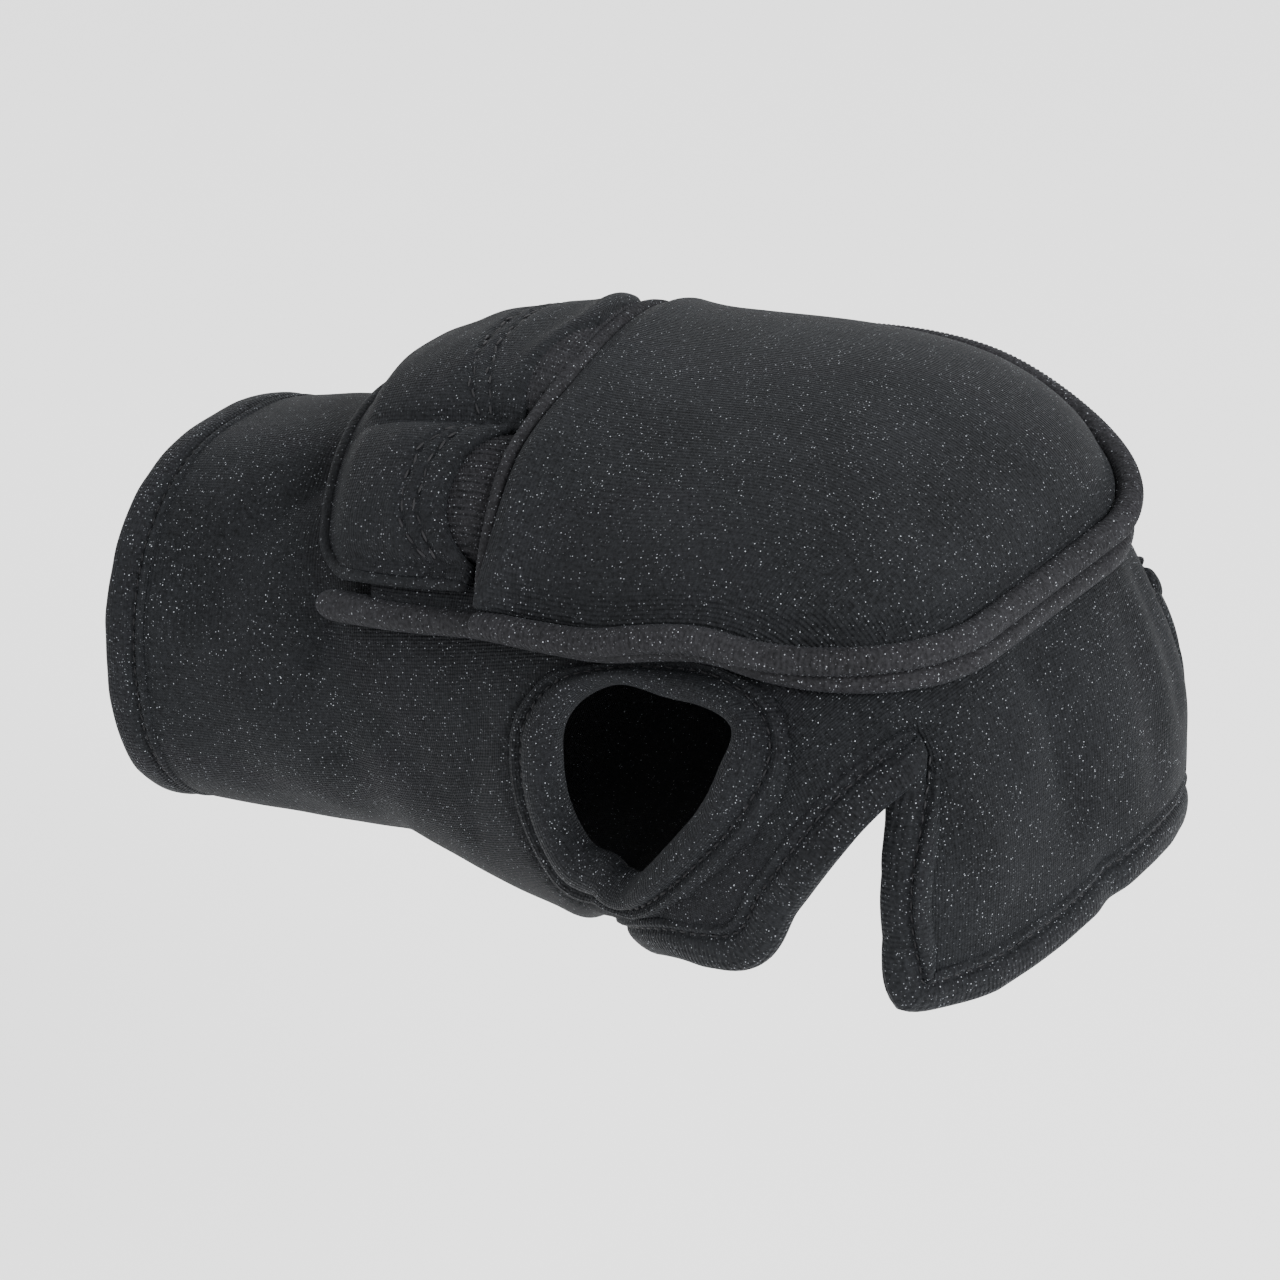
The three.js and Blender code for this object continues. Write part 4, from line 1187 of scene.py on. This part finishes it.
def add_bump(tree, shader, height, distance, strength=1.0):
    bump = value_node(tree, "ShaderNodeBump")
    set_inputs(bump, {"Distance": distance * MM, "Strength": strength})
    tree.links.new(height, bump.inputs["Height"])
    tree.links.new(bump.outputs[0], shader.inputs["Normal"])


def scaled(colour, gain):
    return [gain * part for part in colour]


# Specks of the knit: tiny bright dots of lint and painted glints, mixed into its base colour.
FLUFF_SCALE = 1900
CLOUD_SCALE = 70
SPECK_SCALE = 2600
SPECK_SIZE = 0.22
GLINT = (0.36, 0.045)    # painted glints: brightness of the brightest dot over the faintest, and of that one


def knit_material(name, colour, lint_and_glint_colour, wale, course, relief_depth, roughness, sheen, specks):
    """Knit-faced cloth: fine columns of loops, soft colour changes and tiny bright specks of lint and
    painted glints.
    """
    material, tree, shader = shader_material(name, colour)
    links = tree.links
    chart = tree.nodes.new("ShaderNodeUVMap")
    chart.uv_map = "chart"
    object_at = object_place(tree)
    u, v = value_node(tree, "ShaderNodeSeparateXYZ", chart.outputs[0]).outputs[:2]
    turn = 2 * math.pi / MM
    loop = math_node(tree, "SINE", math_node(tree, "MULTIPLY", v, turn / wale))
    knot = math_node(tree, "SINE", math_node(tree, "MULTIPLY", u, turn / course))
    weave = math_node(tree, "MULTIPLY_ADD", knot, 0.7, loop)
    fluff = noise(tree, object_at, FLUFF_SCALE, 4)
    add_bump(tree, shader, math_node(tree, "MULTIPLY_ADD", fluff, 5.0, weave), relief_depth, 0.7)

    cloud = noise(tree, object_at, CLOUD_SCALE, 5)
    # Specks of lint and painted glints: the brightest ones are painted highlights of the fibres.
    dots = value_node(tree, "ShaderNodeTexVoronoi", object_at)
    set_inputs(dots, {"Scale": SPECK_SCALE})
    size = math_node(tree, "LESS_THAN", dots.outputs["Distance"], SPECK_SIZE)
    pick, bright = value_node(tree, "ShaderNodeSeparateColor", dots.outputs["Color"]).outputs[:2]
    chosen = math_node(tree, "GREATER_THAN", pick, 1 - specks)
    glint = math_node(tree, "MULTIPLY_ADD", math_node(tree, "POWER", bright, 4.0), *GLINT)
    lint_and_glint_mask = math_node(tree, "MULTIPLY", math_node(tree, "MULTIPLY", size, chosen), glint)
    mottle = math_node(tree, "MULTIPLY_ADD", fluff, 0.75, math_node(tree, "MULTIPLY", cloud, 0.3))
    tone = ramp(tree, mottle, scaled(colour, 0.4), scaled(colour, 2.0), 0.3, 0.75)
    mix = tree.nodes.new("ShaderNodeMix")
    mix.data_type = "RGBA"
    links.new(lint_and_glint_mask, mix.inputs["Factor"])
    links.new(tone, mix.inputs[6])
    mix.inputs[7].default_value = (*lint_and_glint_colour, 1)
    links.new(mix.outputs[2], shader.inputs["Base Color"])
    set_inputs(shader, {"Roughness": roughness, "Specular IOR Level": 0.05, "Sheen Weight": sheen,
                        "Sheen Roughness": 0.45, "Sheen Tint": (0.8, 0.88, 1.0, 1)})
    return material


def thread_material(name, colour):
    """Twisted sewing thread, a little smoother than the cloth."""
    material, tree, shader = shader_material(name, colour)
    strands = noise(tree, object_place(tree), 3500)
    tone = ramp(tree, strands, scaled(colour, 0.6), scaled(colour, 2.0))
    tree.links.new(tone, shader.inputs["Base Color"])
    add_bump(tree, shader, strands, 0.08)
    set_inputs(shader, {"Roughness": 0.55, "Specular IOR Level": 0.2})
    return material


# Knits: the colour and its gain, wale, course and relief in millimetres, roughness, sheen, and
# the gain of the share of specks, which are lint and painted glints.
KNITS = {
    "neoprene": ("neoprene", 1.0, 0.48, 0.48, 0.08, 0.7, 0.012, 1.0),
    "pad_cloth": ("pad_cloth", 1.0, 0.5, 0.5, 0.08, 0.68, 0.012, 1.0),
    "hem": ("neoprene", 1.0, 0.7, 0.45, 0.1, 0.66, 0.016, 1.5),
    "binding": ("binding", 1.25, 0.45, 0.45, 0.07, 0.66, 0.016, 1.3),
}
FINISHES = {}


def finish(name):
    """The named finish, made on first use."""
    if name not in FINISHES:
        looks = bpy.context.scene.glove_looks
        if name == "thread":
            FINISHES[name] = thread_material(name, looks.thread[:])
        else:
            colour, gain, *knit, lint_and_glint_gain = KNITS[name]
            colour = scaled(getattr(looks, colour), gain)
            # how many of the knit's cells carry specks of lint and painted glints
            specks = looks.lint_and_glint_share * lint_and_glint_gain
            FINISHES[name] = knit_material(name, colour, looks.lint_and_glint[:], *knit, specks)
    return FINISHES[name]


# Sizes and colours that a user would change

def length(name, description, value):
    return FloatProperty(name=name, description=description, default=value * MM, unit="LENGTH", precision=5)


def tint(name, description, value):
    return FloatVectorProperty(name=name, description=description, default=value, size=3,
                               subtype="COLOR", min=0, max=1)


DIFFUSE_SHARE = 0.43


def dimmed(slot):
    """A slot's colour without the share of light that its surface mirrors."""
    return tuple(scaled(SLOTS[slot]["base_color"], DIFFUSE_SHARE))


class GloveSizes(bpy.types.PropertyGroup):
    """Sizes of the stitching, ribs and padding."""
    stitch_pitch: length("Stitch pitch", "Distance from one stitch to the next", 1.9)
    stitch_length: length("Stitch length", "Length of thread that shows in one stitch", 1.3)
    thread_thickness: length("Thread thickness", "Thickness of the sewing thread", 0.42)
    rib_pitch: length("Rib pitch", "Distance between two ribs of the binding", 0.75)
    rib_depth: length("Rib depth", "Depth of the ribs on the bands", 0.3)
    piping_radius: length("Piping radius", "Radius of the piping round the pad", 1.9)
    roll_radius: length("Roll radius", "Radius of the rolled edge of the base panel", 1.6)
    edge_radius: length("Flap edge radius", "Radius of the ridge round the flap", 1.0)
    ridge_radius: length("Pad ridge radius", "Radius of the sewn ridge across the pad's end", 1.4)
    pad_rise: length("Pad rise", "Height of the pad over its piping before it swells", 2.8)
    pad_swell: length("Pad swell", "Most that the filling may push the cover out", 1.2)
    pad_pressure: FloatProperty(name="Pad pressure", description="Pressure of the filling", default=4.0)


class GloveLooks(bpy.types.PropertyGroup):
    """Colours of the cloths and the thread."""
    neoprene: tint("Neoprene", "Colour of the shell", dimmed("neoprene"))
    pad_cloth: tint("Pad cloth", "Colour of the pad's cover", dimmed("pad_cloth"))
    binding: tint("Binding", "Colour of the ribbed bindings", dimmed("ribbed_binding"))
    thread: tint("Thread", "Colour of the sewing thread", (0.005, 0.005, 0.006))
    # The specks are lint and painted glints, put into the knit's colour; the share says how many cells get
    # them.
    lint_and_glint: tint("Specks", "Colour of the fine bright specks", (0.7, 0.74, 0.8))
    lint_and_glint_share: FloatProperty(name="Speck share", description="Share of the knit's cells that shine",
                               default=0.4, min=0, max=1, subtype="FACTOR")


class GloveStage(bpy.types.PropertyGroup):
    """Camera and light."""
    azimuth: FloatProperty(name="Azimuth", description="Turn of the camera about the glove",
                           default=math.radians(28), subtype="ANGLE")
    elevation: FloatProperty(name="Elevation", description="Height of the camera as an angle",
                             default=math.radians(28), subtype="ANGLE")
    distance: length("Camera distance", "Distance from the camera to the glove", 650)
    light: FloatProperty(name="Light", description="Strength of the main lamp", default=55.0, unit="POWER")
    sky: FloatProperty(name="Sky", description="Strength of the even light from all sides", default=1.8)


# Operators, one for each piece or group of like pieces

THREAD_PLACE = (0.05, -0.42)     # across and up from a hem's seam to its thread
HEM_STRETCH = 1.08       # the palm's and the cover's hems reach this much further than FINGER_HEM
END_SINK = {"palm": -0.25, "cover": 1.1}     # how far down a hem goes at its ends
SINK_REACH = 6
RING_GROOVE = 0.28       # where the thumb ring is stitched, as a share of its width
PANEL_GAP = 0.1          # between a panel's edge and the cord round it
PAD_MARGIN = 0.4         # how far the pad's cover reaches over its seam
RIDGE_HEIGHT = 4.3
FLAP_THICK = 1.9
FLAP_SLACK = ((0.35, 9, 31),)
FLAP_THREAD = {"length": 1.9 * MM, "pitch": 2.5 * MM}
BAND_SHARE = 0.95        # width of a band, as a share of its mouth
BAND_INSET = 3.5         # how far inside the mouth a band begins
BAND_END = 1.2           # and how far before the pad it ends
BAND_CROWN = 1.2

RUNS = {}


def runs():
    if not RUNS:
        RUNS.update(seam_runs())
    return RUNS


class GLOVE_OT_shell(bpy.types.Operator):
    """Makes the neoprene shell with its folds"""
    bl_idname = "glove.shell"
    bl_label = "Shell"

    def execute(self, context):
        mesh = make_shell_mesh(runs(), context.scene.glove_sizes)
        dress(mesh, "shell_cloth", "neoprene", "neoprene", "glove_shell")
        return {"FINISHED"}


class GLOVE_OT_hems(bpy.types.Operator):
    """Makes the folded hems of the wrist, the palm and the finger cover"""
    bl_idname = "glove.hems"
    bl_label = "Hems"

    def execute(self, context):
        sizes = context.scene.glove_sizes
        seams = runs()
        mesh = strip_mesh("wrist_hem", seams["mouth"], HEM_SECTION, WRIST_HEM, 1.0, sizes)
        dress(mesh, "wrist_hem_cloth", "hem", "neoprene", "wrist_hem")
        for name in ("palm", "cover"):
            run = seams[name]
            end = np.minimum(run.at, run.total - run.at)
            width = FINGER_HEM * HEM_STRETCH * rounded_end(end + 0.3, 4.0)
            stout = 0.35 + 0.65 * rounded_end(end + 0.2, 2.5)
            mesh = strip_mesh(name + "_hem", run, HEM_SECTION, width, stout, sizes,
                              sink=END_SINK[name] * hill(end, SINK_REACH))
            dress(mesh, name + "_hem_cloth", "hem", "neoprene", "finger_opening_hem")
        lines = [(seams["mouth"].shifted(*THREAD_PLACE), seams["mouth"].up, True)]
        for name in ("palm", "cover"):
            run = seams[name]
            keep = slice(8, -8)
            lines.append((run.shifted(*THREAD_PLACE)[keep], run.up[keep], False))
        thread = stitches("hem_stitches", lines, sizes, finish("thread"), seed=3)
        hand_over(thread, "neoprene")
        return {"FINISHED"}


class GLOVE_OT_thumb_ring(bpy.types.Operator):
    """Makes the wide binding of the thumb hole"""
    bl_idname = "glove.thumb_ring"
    bl_label = "Thumb ring"

    def execute(self, context):
        sizes = context.scene.glove_sizes
        run = runs()["thumb"]
        seam = looped(line_of(THUMB_SEAM, "station", "angle", closed=True))
        edge = looped(line_of(THUMB_SEAM, "edge_station", "edge_angle", closed=True))
        length_at = reach(on_shell(*seam.T))
        edge_at = [np.interp(run.at, length_at, column) for column in edge.T]
        across = on_shell(*edge_at) - run.point
        width = smooth_ring(np.linalg.norm(across, axis=1, keepdims=True), 3, True)[:, 0]
        mesh = strip_mesh("thumb_ring", run, RING_SECTION, width, 1.0, sizes, groove=RING_GROOVE,
                          out=unit(smooth_ring(across, 3, True)))
        dress(mesh, "thumb_ring_cloth", "hem", "neoprene", "thumb_ring")
        line = run.point + unit(across) * (RING_GROOVE * width)[:, None] + run.up * -0.05
        thread = stitches("thumb_stitches", [(line, run.up, True)], sizes, finish("thread"), seed=9)
        hand_over(thread, "neoprene")
        return {"FINISHED"}


class GLOVE_OT_base(bpy.types.Operator):
    """Makes the base panel under the pad and its rolled edge"""
    bl_idname = "glove.base"
    bl_label = "Base panel"

    def execute(self, context):
        sizes = context.scene.glove_sizes
        along, around, _ = panel_grid(BASE["thumb"], BASE["little"], lambda a: flap_slant(a) + BASE_TUCK,
                                      lambda a: round_front(BASE, a), 60, 80)
        top = on_panel(along, around, SEAT + BASE_THICK)
        under = on_panel(along, around, SEAT)
        mesh = slab(top, under, np.stack([along, around], -1), 0.3).mesh("pad_base")
        dress(mesh, "pad_base_cloth", "neoprene", "neoprene", "pad_base")
        radius = sizes.roll_radius / MM
        line = round_path(BASE, radius + PANEL_GAP, SEAT + radius, BASE["back"] - 2)
        from_end = np.minimum(np.arange(len(line)), np.arange(len(line))[::-1])
        roll = ribbed_cord("base_roll_cloth", line, radius, sizes, 0.02, 3.5, 4, 20,
                           thick=1.12 + 0.28 * hill(from_end, 26))
        hand_over(roll, "ribbed_binding", "base_roll")
        return {"FINISHED"}


class GLOVE_OT_pad(bpy.types.Operator):
    """Makes the filled pad, its piping and the ridge across its end"""
    bl_idname = "glove.pad"
    bl_label = "Weight pad"

    def execute(self, context):
        sizes = context.scene.glove_sizes
        along, around, _ = panel_grid(PAD["thumb"] - PAD_MARGIN, PAD["little"] + PAD_MARGIN,
                                      lambda a: PAD["back"] - 0.6 + ridge_bow(a),
                                      lambda a: round_front(PAD, a) + PAD_MARGIN, 44, 44)
        top = on_panel(along, around, pad_shape(along, around, sizes))
        under = on_panel(along, around, UPPER)
        mesh = slab(top, under, np.stack([along, around], -1), 0.2, wall_steps=1).mesh("weight_pad")
        piece = place_piece(mesh, "weight_pad_cloth", finish("pad_cloth"))
        count = top[..., 0].size
        rim = np.zeros(top.shape[:2], bool)
        rim[[0, -1]] = True
        rim[:, [0, -1]] = True
        held = np.concatenate([np.flatnonzero(rim), np.arange(count, len(mesh.vertices))])
        fill_with_air(piece, held, sizes.pad_swell / MM, sizes.pad_pressure)
        subdivided(piece, 2)
        hand_over(piece, "pad_cloth", "weight_pad")

        radius = sizes.piping_radius / MM
        line = round_path(PAD, radius + PANEL_GAP, UPPER + PIPING_LIFT, PAD["back"] - 1.5)
        piping = ribbed_cord("pad_piping_cloth", line, radius, sizes, 0.04, 2.5, 5, 18)
        hand_over(piping, "ribbed_binding", "pad_piping")

        side = np.linspace(PAD["thumb"], PAD["little"], 90)
        radius = sizes.ridge_radius / MM
        line = on_panel(PAD["back"] - radius - 0.2 + ridge_bow(side), side,
                        UPPER + RIDGE_HEIGHT - 1.8 * (np.abs(side) / 36) ** 6)
        ridge = ribbed_cord("pad_ridge_cloth", line, radius, sizes, 0.05, 2.5, 5, 16,
                            thick=0.78 + 0.5 / (1 + np.exp(-(side + 10) / 3)))
        hand_over(ridge, "ribbed_binding", "pad_ridge")
        return {"FINISHED"}


class GLOVE_OT_pocket(bpy.types.Operator):
    """Makes the flap with its two puffed lobes, its edge and the ribbed bands in its mouths"""
    bl_idname = "glove.pocket"
    bl_label = "Pocket flap"

    def execute(self, context):
        sizes = context.scene.glove_sizes
        along, around, part = panel_grid(FLAP["thumb"], FLAP["little"], flap_back, flap_mouth, 110, 64)
        height = flap_shape(along, around)
        top = on_panel(along, around, height)
        slack = waves(top, FLAP_SLACK) * np.sin(math.pi * part)
        station = station_along(along)
        top = top + normal(station, angle_at(station, around)) * slack[..., None]
        under = on_panel(along, around, np.maximum(flap_low(along, around), height - FLAP_THICK))
        mesh = slab(top, under, np.stack([along, around], -1), 0.5).mesh("pocket_flap")
        piece = dress(mesh, "pocket_flap_cloth", "neoprene", "neoprene", "pocket_flap")

        lines = []
        for k in (0, 1):
            middle, half = LOBES["middle"][k], LOBES["half"][k]
            side = np.linspace(middle - 0.93 * half, middle + 0.93 * half, 60)
            for setback in STITCH_SETBACK:
                run = stitched_mouth(side) - setback + 0.4 * np.sin(side * 1.1 + setback)
                points = on_panel(run, side, flap_shape(run, side) + 0.05)
                station = station_along(run)
                lines.append((points, normal(station, angle_at(station, side)), False))
        thread = stitches("flap_stitches", lines, sizes, finish("thread"), seed=21, **FLAP_THREAD)
        hand_over(thread, "neoprene")

        radius = sizes.edge_radius / MM
        line = flap_edge_line(radius * 0.6, radius)
        edge = cord("flap_edge_cloth", line, radius, finish("neoprene"), end=1.5, step=0.5, sides=14)
        hand_over(edge, "neoprene", "flap_edge")

        for k, name in enumerate(("pad_band_near", "pad_band_far")):
            dress(band_mesh(name, k, sizes), name + "_cloth", "binding", "ribbed_binding", name)
        return {"FINISHED"}


def flap_edge_line(margin, radius):
    """Round the flap, from one end of its mouth over its wrist edge to the other."""
    corner = FLAP["corner"] + margin
    first, last = FLAP["thumb"] + FLAP["corner"], FLAP["little"] - FLAP["corner"]
    thumb, little = FLAP["thumb"] - margin, FLAP["little"] + margin
    bend = np.radians(np.linspace(0, 90, 19)[1:])

    def side(around):
        start = flap_slant(around) + FLAP["corner"]
        along = np.linspace(FLAP["mouth"], start, 26)
        return np.stack([along, np.full(26, around)], -1)

    def turned(around, way):
        along = flap_slant(around) + FLAP["corner"] - corner * np.sin(bend)
        return np.stack([along, around + way * corner * np.cos(bend)], -1)
    near, far = turned(first, -1), turned(last, 1)
    back_around = np.linspace(first, last, 50)[1:-1]
    back = np.stack([flap_slant(back_around) - margin, back_around], -1)
    line = np.concatenate([side(thumb), near, back, far[::-1], side(little)[::-1]])
    return on_panel(*line.T, radius + flap_low(*line.T) * 0.9 + 0.3)


def band_mesh(name, k, sizes):
    """A ribbed band that comes out of a mouth and ends under the ridge of the pad."""
    middle, half = LOBES["middle"][k], LOBES["half"][k] * BAND_SHARE
    last = min(middle + half, PAD["little"])
    along, around, part = panel_grid(middle - half, last, lambda a: flap_mouth(a) - BAND_INSET,
                                     lambda a: PAD["back"] - BAND_END + 0 * a, 260, 16)
    off = np.abs(around - middle) / half
    arch = np.sqrt(np.clip(1 - off ** 3, 0, 1))
    crown = BAND_CROWN * np.sin(math.pi * np.clip(part * 1.1, 0, 1))
    height = UPPER + 0.6 + (LOBES["band"][k] - 1.6 + crown) * arch
    height = height + 0.5 * sizes.rib_depth / MM * np.cos(2 * math.pi * around / (sizes.rib_pitch / MM))
    top = on_panel(along, around, height)
    under = on_panel(along, around, UPPER + 0 * height)
    return slab(top, under, np.stack([along, around], -1), 0.1, wall_steps=1).mesh(name)


# The stage

CAMERA_TARGET = (73.7, -0.5, 10.4)
LENS = 127.97
SENSOR = 36
FLOOR_DROP = 190
FLOOR_HALF = 6.0         # in metres
# Lamps: place and side in metres, and share of the main lamp's strength.
LAMPS = [
    ("key", (1.45, -0.65, 0.95), 0.7, 1.0),
    ("fill", (-0.9, -1.0, 0.8), 1.0, 0.1),
    ("rim", (0.3, 1.1, 1.1), 1.0, 0.05),
]


class GLOVE_OT_stage(bpy.types.Operator):
    """Makes the pale floor, the soft lamps and the camera"""
    bl_idname = "glove.stage"
    bl_label = "Stage"

    def execute(self, context):
        stage = context.scene.glove_stage
        target = np.array(CAMERA_TARGET) * MM
        a, e = stage.azimuth, stage.elevation
        way = np.array([math.sin(a) * math.cos(e), -math.cos(a) * math.cos(e), math.sin(e)])
        camera = bpy.data.cameras.new("camera")
        camera.lens = LENS
        camera.sensor_width = SENSOR
        camera.sensor_fit = "HORIZONTAL"
        camera.clip_end = 50
        view = bpy.data.objects.new("camera", camera)
        context.scene.collection.objects.link(view)
        view.location = target + way * stage.distance
        view.rotation_euler = (math.pi / 2 - e, 0, a)
        context.scene.camera = view

        drop = CAD_BOX[0][2] - FLOOR_DROP * MM
        floor = bpy.data.meshes.new("floor")
        corners = [(FLOOR_HALF * x, FLOOR_HALF * y, drop) for x, y in ((-1, -1), (1, -1), (1, 1), (-1, 1))]
        floor.from_pydata(corners, [], [(0, 1, 2, 3)])
        material, tree, shader = shader_material("pale_floor", (0.97, 0.97, 0.97))
        tone = ramp(tree, noise(tree, object_place(tree), 40), (0.96, 0.96, 0.96), (0.98, 0.98, 0.98))
        tree.links.new(tone, shader.inputs["Base Color"])
        set_inputs(shader, {"Roughness": 0.9})
        ground = place_piece(floor, "floor", material)

        world = bpy.data.worlds.new("studio")
        world.use_nodes = True
        background = world.node_tree.nodes["Background"]
        set_inputs(background, {"Color": (1, 1, 1, 1), "Strength": stage.sky})
        context.scene.world = world
        for name, place, side, share in LAMPS:
            light = bpy.data.lights.new(name, "AREA")
            light.shape = "SQUARE"
            light.size = side
            light.energy = stage.light * share
            lamp = bpy.data.objects.new(name, light)
            context.scene.collection.objects.link(lamp)
            lamp.location = place
            aim = target - np.array(place)
            turn = math.atan2(aim[1], aim[0])
            tilt = math.acos(-aim[2] / np.linalg.norm(aim))
            lamp.rotation_euler = (0, -tilt, turn)
        return {"FINISHED"}


class GLOVE_PT_panel(bpy.types.Panel):
    """Lists the glove's pieces, sizes and colours"""
    bl_idname = "GLOVE_PT_panel"
    bl_label = "Weighted glove"
    bl_space_type = "VIEW_3D"
    bl_region_type = "UI"
    bl_category = "Glove"

    def draw(self, context):
        layout = self.layout
        for group in (context.scene.glove_sizes, context.scene.glove_looks, context.scene.glove_stage):
            box = layout.box()
            for name in group.__annotations__:
                box.prop(group, name)
        for operator in OPERATORS:
            layout.operator(operator.bl_idname)


OPERATORS = (GLOVE_OT_shell, GLOVE_OT_hems, GLOVE_OT_thumb_ring, GLOVE_OT_base, GLOVE_OT_pad,
             GLOVE_OT_pocket, GLOVE_OT_stage)
GROUPS = {"glove_sizes": GloveSizes, "glove_looks": GloveLooks, "glove_stage": GloveStage}


def register():
    for kind in (*GROUPS.values(), *OPERATORS, GLOVE_PT_panel):
        bpy.utils.register_class(kind)
    for name, kind in GROUPS.items():
        setattr(bpy.types.Scene, name, PointerProperty(type=kind))


def unregister():
    for name in GROUPS:
        delattr(bpy.types.Scene, name)
    for kind in reversed((*GROUPS.values(), *OPERATORS, GLOVE_PT_panel)):
        bpy.utils.unregister_class(kind)


def main():
    register()
    bpy.ops.glove.shell()
    bpy.ops.glove.hems()
    bpy.ops.glove.thumb_ring()
    bpy.ops.glove.base()
    bpy.ops.glove.pad()
    bpy.ops.glove.pocket()
    bpy.ops.glove.stage()


if __name__ == "__main__":
    main()
